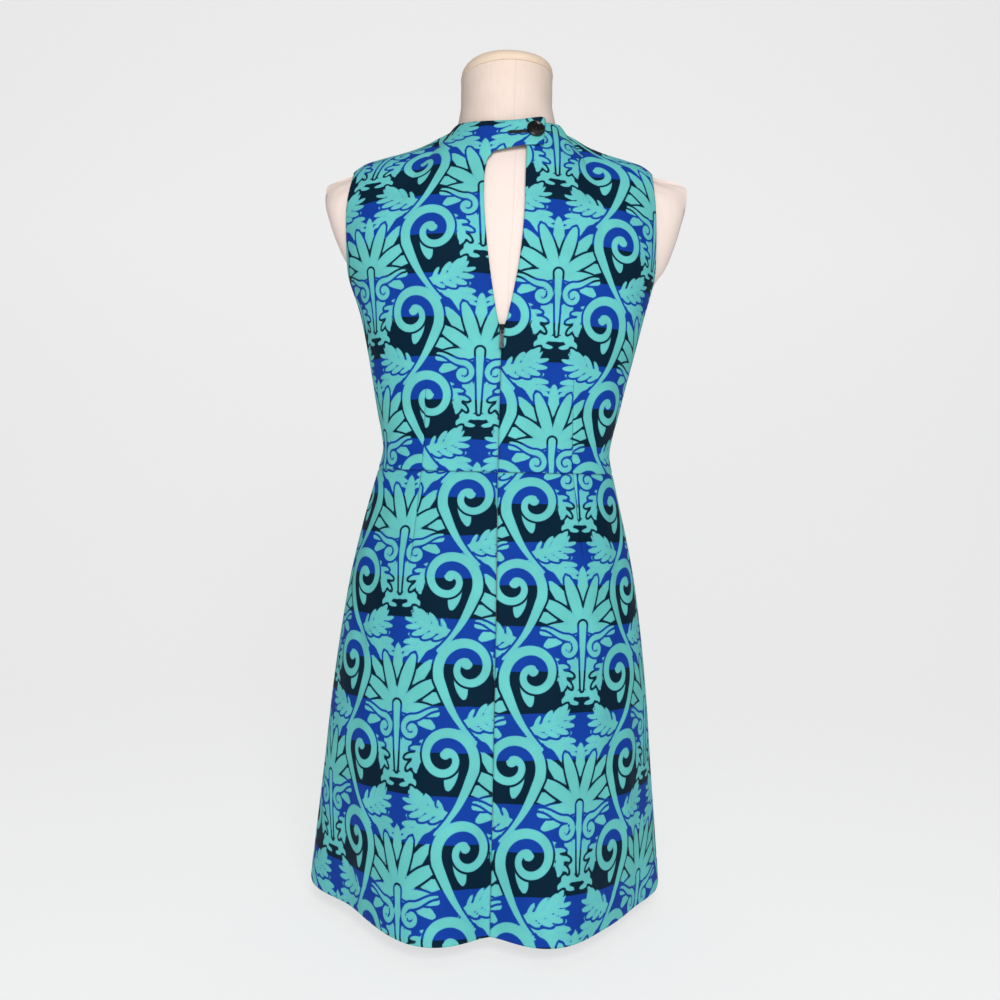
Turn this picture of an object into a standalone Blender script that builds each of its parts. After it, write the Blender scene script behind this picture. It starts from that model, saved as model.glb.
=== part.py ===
"""Sleeveless a-line dress worn by a limbless dress form on a low stand.

Units are metres and +Z is up. The origin is the middle of the stand's underside. The garment's
back faces -Y and its front +Y, so seen from behind +X is to the right.

Every cloth panel is cut from one of three smooth surfaces, the back bodice, the front bodice and
the skirt, which are worked out from the table of girths below. A place on such a surface has a
turn, from -1 at the left side seam through 0 at the centre line to 1 at the right side seam, and
a rise: on a bodice from 0 at the waist through 1 at the underarm to 2 at the top edge.
"""

from collections import namedtuple
import math

import bmesh
import bpy
from mathutils import Matrix, Vector
import numpy as np

# ---------------------------------------------------------------- driving dimensions

CLOTH = 0.0012
SEAM_GAP = 0.0003
SHOULDER_SEAM_GAP = 0.0006

HEM_HEIGHT = 0.020
WAIST_HEIGHT = 0.4793
UNDERARM_HEIGHT = 0.686

Girth = namedtuple("Girth", "height breadth back front back_round front_round")
GIRTHS = (
    Girth(0.0200, 0.1960, 0.1950, 0.1640, 1.80, 1.90),
    Girth(0.0800, 0.1905, 0.1840, 0.1590, 1.85, 1.95),
    Girth(0.1500, 0.1836, 0.1710, 0.1530, 1.92, 2.00),
    Girth(0.2300, 0.1765, 0.1560, 0.1450, 1.98, 2.05),
    Girth(0.3100, 0.1668, 0.1410, 0.1345, 2.06, 2.10),
    Girth(0.3650, 0.1583, 0.1260, 0.1230, 2.12, 2.15),
    Girth(0.4200, 0.1465, 0.1070, 0.1090, 2.15, 2.15),
    Girth(0.4600, 0.1366, 0.0920, 0.0985, 2.15, 2.15),
    Girth(0.4793, 0.1318, 0.0875, 0.0950, 2.15, 2.15),
    Girth(0.5010, 0.1276, 0.0862, 0.0950, 2.15, 2.15),
    Girth(0.5200, 0.1302, 0.0872, 0.0975, 2.15, 2.15),
    Girth(0.5417, 0.1352, 0.0895, 0.1020, 2.15, 2.15),
    Girth(0.5824, 0.1437, 0.0950, 0.1150, 2.15, 2.20),
    Girth(0.6231, 0.1527, 0.1010, 0.1260, 2.15, 2.25),
    Girth(0.6502, 0.1590, 0.1040, 0.1265, 2.15, 2.25),
    Girth(0.6860, 0.1700, 0.1065, 0.1210, 2.15, 2.20),
)

BUST_HEIGHT = 0.622
BUST_TURN = 0.36
BUST_RISE = 0.010
BUST_HALF_HEIGHT = 0.050
BUST_HALF_TURN = 0.24

NECK_HALF_BREADTH = 0.0565
BACK_NECK_DEPTH = 0.0625
BACK_NECK_DROP = 0.0115
BACK_NECK_POWER = 1.5
FRONT_NECK_DEPTH = 0.0690
FRONT_NECK_DROP = 0.0680
FRONT_NECK_POWER = 1.15
NECK_TURN = 0.44

# The shoulder line from the neck point to its tip: distance from the middle and height.
ShoulderPoint = namedtuple("ShoulderPoint", "reach height")
SHOULDER_LINE = (
    ShoulderPoint(0.0565, 0.8717),
    ShoulderPoint(0.0740, 0.8581),
    ShoulderPoint(0.0881, 0.8491),
    ShoulderPoint(0.1090, 0.8398),
    ShoulderPoint(0.1380, 0.8308),
    ShoulderPoint(0.1560, 0.8252),
    ShoulderPoint(0.1690, 0.8160),
)
SHOULDER_TIP = SHOULDER_LINE[-1].reach

# How far the armhole's edge stands in from the side's turn at each rise.
Armhole = namedtuple("Armhole", "rise cut")
ARMHOLE = (
    Armhole(1.00, 0.000),
    Armhole(1.05, 0.066),
    Armhole(1.12, 0.126),
    Armhole(1.20, 0.154),
    Armhole(1.29, 0.152),
    Armhole(1.39, 0.137),
    Armhole(1.50, 0.122),
    Armhole(1.61, 0.110),
    Armhole(1.71, 0.097),
    Armhole(1.80, 0.082),
    Armhole(1.86, 0.066),
    Armhole(1.93, 0.038),
    Armhole(2.00, 0.000),
)

# The way in which the cloth climbs to the top edge, at each turn from the centre line.
Climb = namedtuple("Climb", "turn across forward up start_pull end_pull")
BACK_CLIMB = (
    Climb(0.00, 0.00, 0.42, 0.91, 0.36, 0.30),
    Climb(0.22, -0.24, 0.46, 0.85, 0.36, 0.32),
    Climb(0.44, -0.34, 0.68, 0.60, 0.40, 0.38),
    Climb(0.60, -0.20, 0.88, 0.40, 0.45, 0.42),
    Climb(0.78, -0.14, 0.96, 0.22, 0.49, 0.45),
    Climb(0.90, -0.34, 0.85, 0.34, 0.48, 0.44),
    Climb(1.00, -0.74, 0.00, 0.68, 0.46, 0.44),
)
FRONT_CLIMB = (
    Climb(0.00, 0.00, -0.45, 0.90, 0.34, 0.30),
    Climb(0.22, -0.22, -0.50, 0.84, 0.36, 0.32),
    Climb(0.44, -0.34, -0.66, 0.62, 0.38, 0.38),
    Climb(0.60, -0.20, -0.88, 0.40, 0.44, 0.42),
    Climb(0.78, -0.14, -0.96, 0.22, 0.47, 0.45),
    Climb(0.90, -0.34, -0.85, 0.34, 0.46, 0.44),
    Climb(1.00, -0.74, 0.00, 0.68, 0.46, 0.44),
)

# Soft folds of the skirt: where they stand, how wide they are, how far they reach out at the hem.
Fold = namedtuple("Fold", "facing turn half_width reach top")
BACK, FRONT = -1, 1
FOLDS = (
    Fold(BACK, 0.00, 0.12, -0.0250, 0.36),
    Fold(BACK, -0.23, 0.16, 0.0220, 0.40),
    Fold(BACK, 0.22, 0.16, 0.0210, 0.40),
    Fold(BACK, -0.64, 0.18, -0.0170, 0.30),
    Fold(BACK, 0.67, 0.17, -0.0100, 0.33),
    Fold(FRONT, 0.04, 0.15, -0.0080, 0.32),
    Fold(FRONT, -0.30, 0.15, 0.0130, 0.38),
    Fold(FRONT, 0.34, 0.17, 0.0110, 0.40),
    Fold(FRONT, -0.66, 0.15, -0.0070, 0.30),
    Fold(FRONT, 0.70, 0.14, -0.0060, 0.28),
)
FOLD_GROWTH = 1.5

# Half of the keyhole's width at each height, and the neck tab that closes it above.
Keyhole = namedtuple("Keyhole", "height half_width")
KEYHOLE = (
    Keyhole(0.6290, 0.0000),
    Keyhole(0.6352, 0.0030),
    Keyhole(0.6540, 0.0077),
    Keyhole(0.6749, 0.0117),
    Keyhole(0.7073, 0.0167),
    Keyhole(0.7438, 0.0203),
    Keyhole(0.7783, 0.0219),
    Keyhole(0.8020, 0.0214),
    Keyhole(0.8150, 0.0195),
)
TAB_ROOT = 0.0125
TAB_END = 0.0400
UNDERLAP_EDGE = 0.0220
TAB_LOW_RISE = 1.763
TAB_EDGE_RISE = 1.800
TAB_LEVEL_SHARE = 0.58
LAP_LIFT = CLOTH + 0.0006
TAB_FLARE = 0.0030
TAB_COLUMNS = 15
TAB_STEP_END = 0.018
TAB_FLARE_FROM = 0.010

BUTTON_RADIUS = 0.0099
BUTTON_THICKNESS = 0.0032
BUTTON_RIM = 0.0018
BUTTON_HOLE_RADIUS = 0.0008
BUTTON_HOLE_SPREAD = 0.0026
BUTTON_PLACE = 0.0287
BUTTON_RISE = 1.895
BUTTON_STAND_OFF = 0.0007

SLIDER_WIDTH = 0.0052
SLIDER_DEPTH = 0.0024
SLIDER_LENGTH = 0.0095
SLIDER_HEIGHT = 0.6300
SLIDER_STAND_OFF = 0.0006
BRIDGE_WIRE = 0.0004
BRIDGE_REACH = 0.0020
BRIDGE_HALF_LENGTH = 0.0022
PULL_THICKNESS = 0.0007
PULL_BAR = 0.0008
PULL_HALF_WIDTH = 0.0026
PULL_LENGTH = 0.0185
EYE_HALF_WIDTH = 0.0011
EYE_LENGTH = 0.0034

EASE_BODICE = 0.0048
SHOULDER_EASE = 0.0010
FORM_EASE = ((0.236, 0.0330), (0.244, 0.0180), (0.262, 0.0125), (0.300, 0.0100), (0.360, 0.0080),
             (0.420, 0.0060), (WAIST_HEIGHT, EASE_BODICE))
FORM_NECK_BREADTH = 0.0514
FORM_NECK_DEPTH = 0.0555
NECK_CUT_HEIGHT = 0.9205
CAP_TOP_HEIGHT = 0.9478
CAP_TILT = 0.120
CAP_SLANT = 0.035

# The shoulder stump's reach at each height.
Stump = namedtuple("Stump", "height reach")
STUMP = (
    Stump(0.6860, 0.1640),
    Stump(0.6950, 0.1680),
    Stump(0.7070, 0.1775),
    Stump(0.7316, 0.1895),
    Stump(0.7587, 0.1985),
    Stump(0.7780, 0.2035),
    Stump(0.7900, 0.2040),
    Stump(0.8000, 0.2025),
    Stump(0.8084, 0.1920),
    Stump(0.8165, 0.1760),
)
STUMP_SHIFT = 0.0065
STUMP_CLEARANCE = 0.012
STUMP_EDGE = 0.970
STUMP_FULL = 0.985
STUMP_SWELL = 0.8
STUMP_DROP = 0.0035
STUMP_DROP_RISE = 0.10

# How the worn dress and its form stand: the sideways shift at each height, and the shoulders'
# slant, which grows between two heights.
Stance = namedtuple("Stance", "height shift")
STANCE = (
    Stance(0.4400, 0.0000),
    Stance(0.5146, 0.0012),
    Stance(0.5688, 0.0023),
    Stance(0.6231, 0.0036),
    Stance(0.6500, 0.0036),
    Stance(0.6900, 0.0020),
    Stance(0.7300, 0.0004),
    Stance(0.7900, -0.0004),
    Stance(0.8300, 0.0028),
    Stance(0.8550, 0.0046),
    Stance(0.8720, 0.0048),
    Stance(0.8860, 0.0034),
    Stance(0.9600, 0.0034),
)
STANCE_REACH = 0.048
SLANT = 0.0244
SLANT_FROM = 0.640
SLANT_TO = 0.780

BASE_RADIUS = 0.124
BASE_THICKNESS = 0.009
BASE_EDGE = 0.003
COLLAR_RADIUS = 0.024
COLLAR_HEIGHT = 0.016
COLLAR_EDGE = 0.002
POLE_RADIUS = 0.0140

# Colours as red, green and blue, then roughness and metallic value.
FINISHES = {
    "printed_cloth": ((0.14, 0.64, 0.58), 0.72, 0.0),
    "button_black": ((0.010, 0.010, 0.012), 0.22, 0.0),
    "zip_black": ((0.012, 0.012, 0.014), 0.28, 0.6),
    "form_linen": ((0.80, 0.68, 0.58), 0.85, 0.0),
    "cap_linen": ((0.84, 0.70, 0.56), 0.80, 0.0),
    "stand_metal": ((0.55, 0.55, 0.54), 0.35, 1.0),
    "base_enamel": ((0.70, 0.69, 0.66), 0.40, 0.0),
}

# ---------------------------------------------------------------- smooth curves and surfaces


def through(places, values, at):
    """A smooth curve through the values at their places, read at other places."""
    places = np.asarray(places, float)
    values = np.asarray(values, float)
    slopes = np.gradient(values, places)
    at = np.clip(at, places[0], places[-1])
    row = np.clip(np.searchsorted(places, at) - 1, 0, len(places) - 2)
    step = places[row + 1] - places[row]
    part = (at - places[row]) / step
    rest = 1 - part
    ends = (1 + 2 * part) * rest**2 * values[row] + (3 - 2 * part) * part**2 * values[row + 1]
    return ends + step * part * rest * (rest * slopes[row] - part * slopes[row + 1])


def column(table, name, key, at):
    """One named column of a table, read at places along its key column."""
    return through([getattr(row, key) for row in table], [getattr(row, name) for row in table], at)


def unit(vectors):
    return vectors / np.linalg.norm(vectors, axis=-1, keepdims=True)


def stance(places):
    """Moves places beside the middle sideways and slants the shoulders, as the worn dress stands."""
    height = places[..., 2].copy()
    part = np.clip((height - SLANT_FROM) / (SLANT_TO - SLANT_FROM), 0, 1)
    places[..., 2] += SLANT * places[..., 0] * part**2 * (3 - 2 * part)
    beside = np.clip(np.abs(places[..., 0]) / STANCE_REACH, 0, 1)
    places[..., 0] += column(STANCE, "shift", "height", height) * beside**2 * (3 - 2 * beside)
    return places


def girth_point(turn, height, facing):
    """A place on the body's girth at one height, with the bust on the front."""
    side = "back" if facing == BACK else "front"
    breadth = column(GIRTHS, "breadth", "height", height)
    depth = column(GIRTHS, side, "height", height)
    power = 2 / column(GIRTHS, side + "_round", "height", height)
    angle = np.abs(turn) * math.pi / 2
    x = np.sign(turn) * breadth * np.sin(angle) ** power
    y = facing * depth * np.clip(np.cos(angle), 0, 1) ** power
    if facing == FRONT:
        beside = (np.abs(turn) - BUST_TURN) / BUST_HALF_TURN
        above = (height - BUST_HEIGHT) / BUST_HALF_HEIGHT
        y = y + BUST_RISE * np.exp(-(beside**2) - above**2) * np.cos(angle)
    return np.stack([x, y, height + 0 * x], axis=-1)


def skirt_point(turn, height, facing):
    """A place on the skirt, which is the girth with the soft folds pushed out or in."""
    place = girth_point(turn, height, facing)
    push = 0
    for fold in FOLDS:
        if fold.facing == facing:
            growth = np.clip((fold.top - height) / (fold.top - HEM_HEIGHT), 0, 1) ** FOLD_GROWTH
            push = push + fold.reach * growth * np.exp(-(((turn - fold.turn) / fold.half_width) ** 2))
    breadth = column(GIRTHS, "breadth", "height", height)
    outward = unit(np.stack([place[..., 0] / breadth**2, place[..., 1] / breadth**2], axis=-1))
    place[..., 0] += push * outward[..., 0]
    place[..., 1] += push * outward[..., 1]
    return stance(place)


def top_edge(turn, facing):
    """The neckline from the centre line to the neck point, then the shoulder line to its tip."""
    sign = np.sign(turn)
    turn = np.abs(turn)
    depth = BACK_NECK_DEPTH if facing == BACK else FRONT_NECK_DEPTH
    drop = BACK_NECK_DROP if facing == BACK else FRONT_NECK_DROP
    power = BACK_NECK_POWER if facing == BACK else FRONT_NECK_POWER
    angle = np.clip(turn / NECK_TURN, 0, 1) * math.pi / 2
    along = np.clip((turn - NECK_TURN) / (1 - NECK_TURN), 0, 1)
    x = NECK_HALF_BREADTH * np.sin(angle) + (SHOULDER_TIP - NECK_HALF_BREADTH) * along
    y = facing * depth * np.clip(np.cos(angle), 0, 1)
    z = column(SHOULDER_LINE, "height", "reach", x) - drop * np.clip(np.cos(angle), 0, 1) ** power
    return np.stack([sign * x, y, z], axis=-1)


def level_bodice_point(turn, rise, facing):
    """A place on the bodice: girths up to the underarm, then one smooth climb to the top edge."""
    turn, rise = np.broadcast_arrays(np.asarray(turn, float), np.asarray(rise, float))
    height = WAIST_HEIGHT + (UNDERARM_HEIGHT - WAIST_HEIGHT) * np.clip(rise, 0, 1)
    low = girth_point(turn, height, facing)
    start = girth_point(turn, np.full_like(turn, UNDERARM_HEIGHT), facing)
    just_below = girth_point(turn, np.full_like(turn, UNDERARM_HEIGHT - 0.004), facing)
    end = top_edge(turn, facing)
    table = BACK_CLIMB if facing == BACK else FRONT_CLIMB
    across, forward, up, start_pull, end_pull = (
        column(table, name, "turn", np.abs(turn)) for name in Climb._fields[1:]
    )
    leaving = unit(start - just_below)
    arriving = unit(np.stack([np.sign(turn) * across, forward, up], axis=-1))
    reach = np.linalg.norm(end - start, axis=-1)
    second = start + leaving * (reach * start_pull)[..., None]
    third = end - arriving * (reach * end_pull)[..., None]
    part = np.clip(rise - 1, 0, 1)[..., None]
    rest = 1 - part
    high = rest**3 * start + 3 * rest**2 * part * second + 3 * rest * part**2 * third + part**3 * end
    return np.where((rise > 1)[..., None], high, low)


def bodice_point(turn, rise, facing):
    """A place on the bodice as it is worn."""
    return stance(level_bodice_point(turn, rise, facing))


def outward(surface, turn, rise, facing):
    """The outward direction of a surface at each place."""
    small = 1e-4
    along_turn = surface(turn + small, rise, facing) - surface(turn - small, rise, facing)
    along_rise = surface(turn, rise + small, facing) - surface(turn, rise - small, facing)
    return -facing * unit(np.cross(along_turn, along_rise))


# ---------------------------------------------------------------- edges of the bodice panels


def armhole_turn(rise):
    """The turn at which a bodice row ends: the side seam, then the armhole's edge."""
    return 1 - column(ARMHOLE, "cut", "rise", np.asarray(rise, float))


def turn_at_breadth(half_width, rise):
    """The turn at which the back bodice is half_width away from the centre line."""
    low, high = 0.0, 0.5
    for _ in range(40):
        middle = (low + high) / 2
        if level_bodice_point(middle, rise, BACK)[0] < half_width:
            low = middle
        else:
            high = middle
    return high


def keyhole_turn(rise, under_tab):
    """The turn at which a back row begins: the centre seam, the keyhole, or under the tab."""
    if rise > TAB_LOW_RISE - 1e-6:
        return turn_at_breadth(under_tab, rise)
    height = level_bodice_point(0.1, rise, BACK)[2]
    if height <= KEYHOLE[0].height:
        half_width = SEAM_GAP / 2
    else:
        half_width = max(SEAM_GAP / 2, float(column(KEYHOLE, "half_width", "height", height)))
    return turn_at_breadth(half_width, rise)


LOWER_RISES = (0.0, 0.12, 0.26, 0.40, 0.54, 0.66, 0.724, 0.76, 0.84, 0.92)
UPPER_RISES = (1.0, 1.05, 1.12, 1.20, 1.29, 1.39, 1.50, 1.61, 1.71, TAB_LOW_RISE, 1.86, 1.93, 2.0)
BACK_COLUMNS = (0.0, 0.055, 0.11, 0.165, 0.22, 0.275, 0.33, 0.385, 0.44, 0.51, 0.58, 0.66, 0.74, 0.82,
                0.89, 0.95, 1.0)
FRONT_COLUMNS = (0.0, 0.07, 0.14, 0.21, 0.28, 0.34, 0.39, 0.44, 0.51, 0.58, 0.66, 0.74, 0.82, 0.89, 0.95, 1.0)
KEYHOLE_SQUEEZE = 0.40

# Lengths over which one unit of rise or turn is spread where the seams run.
CLIMB_LENGTH = 0.15
BODICE_TURN_LENGTH = 0.20
SKIRT_TURN_LENGTH = 0.22


def panel_rises():
    """The rows of a bodice panel, with room left for the waist and shoulder seams."""
    rises = list(LOWER_RISES + UPPER_RISES)
    rises[0] = SEAM_GAP / 2 / (UNDERARM_HEIGHT - WAIST_HEIGHT)
    rises[-1] = 2 - SHOULDER_SEAM_GAP / 2 / CLIMB_LENGTH
    return rises


def panel_turns(rise, columns, start):
    """The turns of one row, squeezed beside the keyhole, with room for the side seam."""
    end = armhole_turn(rise) - SEAM_GAP / 2 / BODICE_TURN_LENGTH
    columns = np.asarray(columns)
    return columns * end + start * np.clip(1 - columns / KEYHOLE_SQUEEZE, 0, 1)


# ---------------------------------------------------------------- object helpers


def clear_scene():
    for thing in list(bpy.data.objects):
        bpy.data.objects.remove(thing)


def make_collection(name):
    collection = bpy.data.collections.new(name)
    bpy.context.scene.collection.children.link(collection)
    return collection


def finish_material(name):
    """A material with the finish's colour, roughness and metallic value."""
    if name in bpy.data.materials:
        return bpy.data.materials[name]
    colour, roughness, metallic = FINISHES[name]
    material = bpy.data.materials.new(name)
    material.use_nodes = True
    shader = material.node_tree.nodes["Principled BSDF"]
    shader.inputs["Base Color"].default_value = (*colour, 1)
    shader.inputs["Roughness"].default_value = roughness
    shader.inputs["Metallic"].default_value = metallic
    return material


def put_in(thing, name, finish, collection):
    """Names an object, gives it its finish and moves it into its collection."""
    thing.name = name
    for other in list(thing.users_collection):
        other.objects.unlink(thing)
    collection.objects.link(thing)
    if finish:
        thing.data.materials.clear()
        thing.data.materials.append(finish_material(finish))
    return thing


def object_from_bmesh(mesh, name, finish, collection):
    data = bpy.data.meshes.new(name)
    mesh.to_mesh(data)
    mesh.free()
    data.shade_smooth()
    return put_in(bpy.data.objects.new(name, data), name, finish, collection)


def add_grid(mesh, points, flipped):
    """Adds a grid of faces through rows of points."""
    rows = [[mesh.verts.new(point) for point in row] for row in points]
    for low, high in zip(rows, rows[1:]):
        for k in range(len(low) - 1):
            corners = [low[k], low[k + 1], high[k + 1], high[k]]
            mesh.faces.new(corners[::-1] if flipped else corners)


def cloth_wall(name, grids, facing, collection):
    """A panel of cloth: open grids that share their edges, thickened inwards, mitred at the seams."""
    mesh = bmesh.new()
    for points in grids:
        add_grid(mesh, points, facing == FRONT)
    bmesh.ops.remove_doubles(mesh, verts=mesh.verts, dist=1e-6)
    panel = object_from_bmesh(mesh, name, "printed_cloth", collection)
    wall = panel.modifiers.new("Cloth thickness", "SOLIDIFY")
    wall.thickness = CLOTH
    wall.offset = -1
    wall.use_even_offset = True
    bake_modifiers(panel)
    for vertex in panel.data.vertices:
        vertex.co.y = facing * max(facing * vertex.co.y, SEAM_GAP / 2)


def bake_modifiers(thing):
    """Turns an object's modifiers into plain geometry."""
    bpy.context.view_layer.update()
    evaluated = thing.evaluated_get(bpy.context.evaluated_depsgraph_get())
    data = bpy.data.meshes.new_from_object(evaluated)
    thing.modifiers.clear()
    thing.data = data


def apply_boolean(target, tool, operation):
    """Joins or cuts one mesh object with another and bakes the result in."""
    cut = target.modifiers.new(operation.title(), "BOOLEAN")
    cut.operation = operation
    cut.solver = "EXACT"
    cut.object = tool
    bake_modifiers(target)


# ---------------------------------------------------------------- the dress


def build_back_bodice(collection):
    """Two back panels beside the keyhole. The left one carries the neck tab."""
    left, right, tab = [], [], []
    top = panel_rises()[-1]
    for rise in panel_rises():
        left_start = keyhole_turn(rise, TAB_ROOT)
        right_start = keyhole_turn(rise, UNDERLAP_EDGE)
        left.append(bodice_point(-panel_turns(rise, BACK_COLUMNS, left_start)[::-1], rise, BACK))
        right.append(bodice_point(panel_turns(rise, BACK_COLUMNS, right_start), rise, BACK))
        if rise > TAB_LOW_RISE - 1e-6:
            share = np.linspace(0, 1, TAB_COLUMNS)
            rises = top - (top - rise) * (top - tab_low_rise(share)) / (top - TAB_LOW_RISE)
            end = turn_at_breadth(TAB_END, rises[-1])
            tab.append(tab_row(rises, -left_start + (end + left_start) * share))
    cloth_wall("back_bodice_left", [left, tab], BACK, collection)
    cloth_wall("back_bodice_right", [right], BACK, collection)


def tab_low_rise(share):
    """The tab's lower edge, which climbs from its root and then runs level. Share is 1 at its end."""
    return TAB_LOW_RISE + (TAB_EDGE_RISE - TAB_LOW_RISE) * np.clip(share / TAB_LEVEL_SHARE, 0, 1)


def tab_row(rises, turns):
    """One row of the neck tab, which rises over the right back's edge and flares at its end."""
    places = bodice_point(turns, rises, BACK)
    aside = level_bodice_point(turns, rises, BACK)[:, 0]
    half = np.clip((aside + TAB_ROOT) / (TAB_STEP_END + TAB_ROOT), 0, 1)
    flare = np.clip((aside - TAB_FLARE_FROM) / (TAB_END - TAB_FLARE_FROM), 0, 1)
    lift = LAP_LIFT * half**2 * (3 - 2 * half) + TAB_FLARE * flare**1.5
    normal = outward(bodice_point, turns, np.minimum(np.full_like(turns, rises), 1.99), BACK)
    return places + normal * lift[:, None]


def build_front_bodice(collection):
    rows = []
    for rise in panel_rises():
        half = panel_turns(rise, FRONT_COLUMNS, 0.0)
        turns = np.concatenate([-half[:0:-1], half])
        rows.append(bodice_point(turns, rise, FRONT))
    cloth_wall("front_bodice", [rows], FRONT, collection)


SKIRT_HEIGHTS = (HEM_HEIGHT, 0.045, 0.080, 0.120, 0.160, 0.200, 0.240, 0.280, 0.320, 0.360, 0.395,
                 0.425, 0.452, WAIST_HEIGHT - SEAM_GAP / 2)
SKIRT_HALF_COLUMNS = 16


def build_skirt(collection):
    """A front panel and two back panels that meet at the sides and the centre back."""
    middle = SEAM_GAP / 2 / SKIRT_TURN_LENGTH
    side = 1 - middle
    half = np.linspace(middle, side, SKIRT_HALF_COLUMNS + 1)
    whole = np.linspace(-side, side, 2 * SKIRT_HALF_COLUMNS + 1)

    def rows(turns, facing):
        return [skirt_point(turns, np.full_like(turns, height), facing) for height in SKIRT_HEIGHTS]

    cloth_wall("back_skirt_left", [rows(-half[::-1], BACK)], BACK, collection)
    cloth_wall("back_skirt_right", [rows(half, BACK)], BACK, collection)
    cloth_wall("front_skirt", [rows(whole, FRONT)], FRONT, collection)


# ---------------------------------------------------------------- button and zip


def surface_frame(place, normal):
    """A placing whose Z axis is the surface's outward direction and whose X axis is level."""
    z = Vector(normal).normalized()
    x = Vector((0, 0, 1)).cross(z).normalized()
    y = z.cross(x)
    return Matrix.Translation(place) @ Matrix((x, y, z)).transposed().to_4x4()


def turned(name, profile, steps, finish, collection):
    """A turned shape from a profile of radius and height, its outer side from top to bottom."""
    data = bpy.data.meshes.new(name)
    data.from_pydata([(r, 0, z) for r, z in profile], [(k, k + 1) for k in range(len(profile) - 1)], [])
    thing = put_in(bpy.data.objects.new(name, data), name, finish, collection)
    screw = thing.modifiers.new("Turned", "SCREW")
    screw.axis = "Z"
    screw.steps = steps
    screw.render_steps = steps
    screw.use_merge_vertices = True
    screw.merge_threshold = 1e-6
    screw.use_smooth_shade = True
    return thing


def build_button(collection, cutters):
    """A round four-hole button with a raised rim, sewn flat on the tab."""
    r, h = BUTTON_RADIUS, BUTTON_THICKNESS
    floor = h - 0.0010
    profile = [(0, floor), (r - 3.2 * BUTTON_RIM / 2, floor), (r - 2.2 * BUTTON_RIM / 2, h - 0.0004),
               (r - 1.6 * BUTTON_RIM / 2, h), (r - 0.0008, h), (r - 0.0002, h - 0.0006),
               (r, h - 0.0013), (r - 0.0004, 0.0005), (r - 0.0012, 0), (0, 0)]
    button = turned("neck_button", profile, 36, "button_black", collection)
    turn = turn_at_breadth(BUTTON_PLACE, BUTTON_RISE)
    before, place, after = tab_row(BUTTON_RISE, np.array([turn - 0.02, turn, turn + 0.02]))
    below, above = (tab_row(BUTTON_RISE + step, np.array([turn]))[0] for step in (-0.06, 0.06))
    normal = unit(np.cross(after - before, above - below))
    placing = surface_frame(Vector(place + normal * BUTTON_STAND_OFF), normal)
    for k in range(4):
        angle = math.radians(45 + 90 * k)
        bpy.ops.mesh.primitive_cylinder_add(
            vertices=10, radius=BUTTON_HOLE_RADIUS, depth=0.012,
            location=(BUTTON_HOLE_SPREAD / 2 * math.cos(angle), BUTTON_HOLE_SPREAD / 2 * math.sin(angle), 0),
        )
        drill = put_in(bpy.context.object, f"button_drill_{k}", None, cutters)
        drill.hide_render = True
        drill.display_type = "WIRE"
        cut = button.modifiers.new(f"Thread hole {k}", "BOOLEAN")
        cut.operation = "DIFFERENCE"
        cut.solver = "EXACT"
        cut.object = drill
        drill.matrix_world = placing @ drill.matrix_basis
    button.matrix_world = placing


def slider_placing():
    """Where the slider stands on the centre-back seam, leaning with the cloth."""
    rise = (SLIDER_HEIGHT - WAIST_HEIGHT) / (UNDERARM_HEIGHT - WAIST_HEIGHT)
    at = np.array([0.0]), np.array([rise])
    place = bodice_point(*at, BACK)[0]
    normal = outward(bodice_point, *at, BACK)[0]
    return surface_frame(Vector(place) + Vector(normal) * SLIDER_STAND_OFF, normal)


def build_zip(collection, cutters):
    """The slider with its wire bridge, and the pull tab that swings on the bridge."""
    placing = slider_placing()
    bpy.ops.mesh.primitive_cube_add(size=1, location=(0, 0, SLIDER_DEPTH / 2))
    slider = put_in(bpy.context.object, "zip_slider", "zip_black", collection)
    slider.data.transform(Matrix.Diagonal((SLIDER_WIDTH, SLIDER_LENGTH, SLIDER_DEPTH, 1)))
    slider.data.transform(Matrix.Translation((0, 0, SLIDER_DEPTH / 2)))
    slider.location = (0, 0, 0)
    rounded = slider.modifiers.new("Rounded", "BEVEL")
    rounded.width = 0.0008
    rounded.segments = 2
    bridge_middle = -SLIDER_LENGTH / 2 + BRIDGE_HALF_LENGTH + BRIDGE_WIRE + 0.0004
    bridge = bridge_loop(bridge_middle, cutters)
    apply_boolean(slider, bridge, "UNION")
    slider.data.materials.clear()
    slider.data.materials.append(finish_material("zip_black"))
    slider.matrix_world = placing
    pivot = placing @ Vector((0, bridge_middle, SLIDER_DEPTH + BRIDGE_REACH / 2 - BRIDGE_WIRE / 2))
    build_pull_tab(pivot, collection)


def bridge_loop(middle, cutters):
    """The wire bridge over the slider, as a closed mesh."""
    curve = bpy.data.curves.new("bridge_wire", "CURVE")
    curve.dimensions = "3D"
    curve.bevel_depth = BRIDGE_WIRE
    curve.bevel_resolution = 1
    curve.use_fill_caps = True
    spline = curve.splines.new("POLY")
    low, high = SLIDER_DEPTH / 2, SLIDER_DEPTH + BRIDGE_REACH
    route = [(-1, low), (-1, high - 0.0006), (-0.75, high - 0.0001), (0.75, high - 0.0001),
             (1, high - 0.0006), (1, low)]
    spline.points.add(len(route) - 1)
    for point, (along, out) in zip(spline.points, route):
        point.co = (0, middle + along * BRIDGE_HALF_LENGTH, out, 1)
    wire = put_in(bpy.data.objects.new("bridge_wire", curve), "bridge_wire", None, cutters)
    bpy.context.view_layer.update()
    data = bpy.data.meshes.new_from_object(wire.evaluated_get(bpy.context.evaluated_depsgraph_get()))
    mesh = bmesh.new()
    mesh.from_mesh(data)
    bmesh.ops.remove_doubles(mesh, verts=mesh.verts, dist=1e-6)
    mesh.to_mesh(data)
    mesh.free()
    loop = put_in(bpy.data.objects.new("bridge_tool", data), "bridge_tool", None, cutters)
    loop.hide_render = True
    loop.display_type = "WIRE"
    bpy.data.objects.remove(wire)
    return loop


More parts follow.
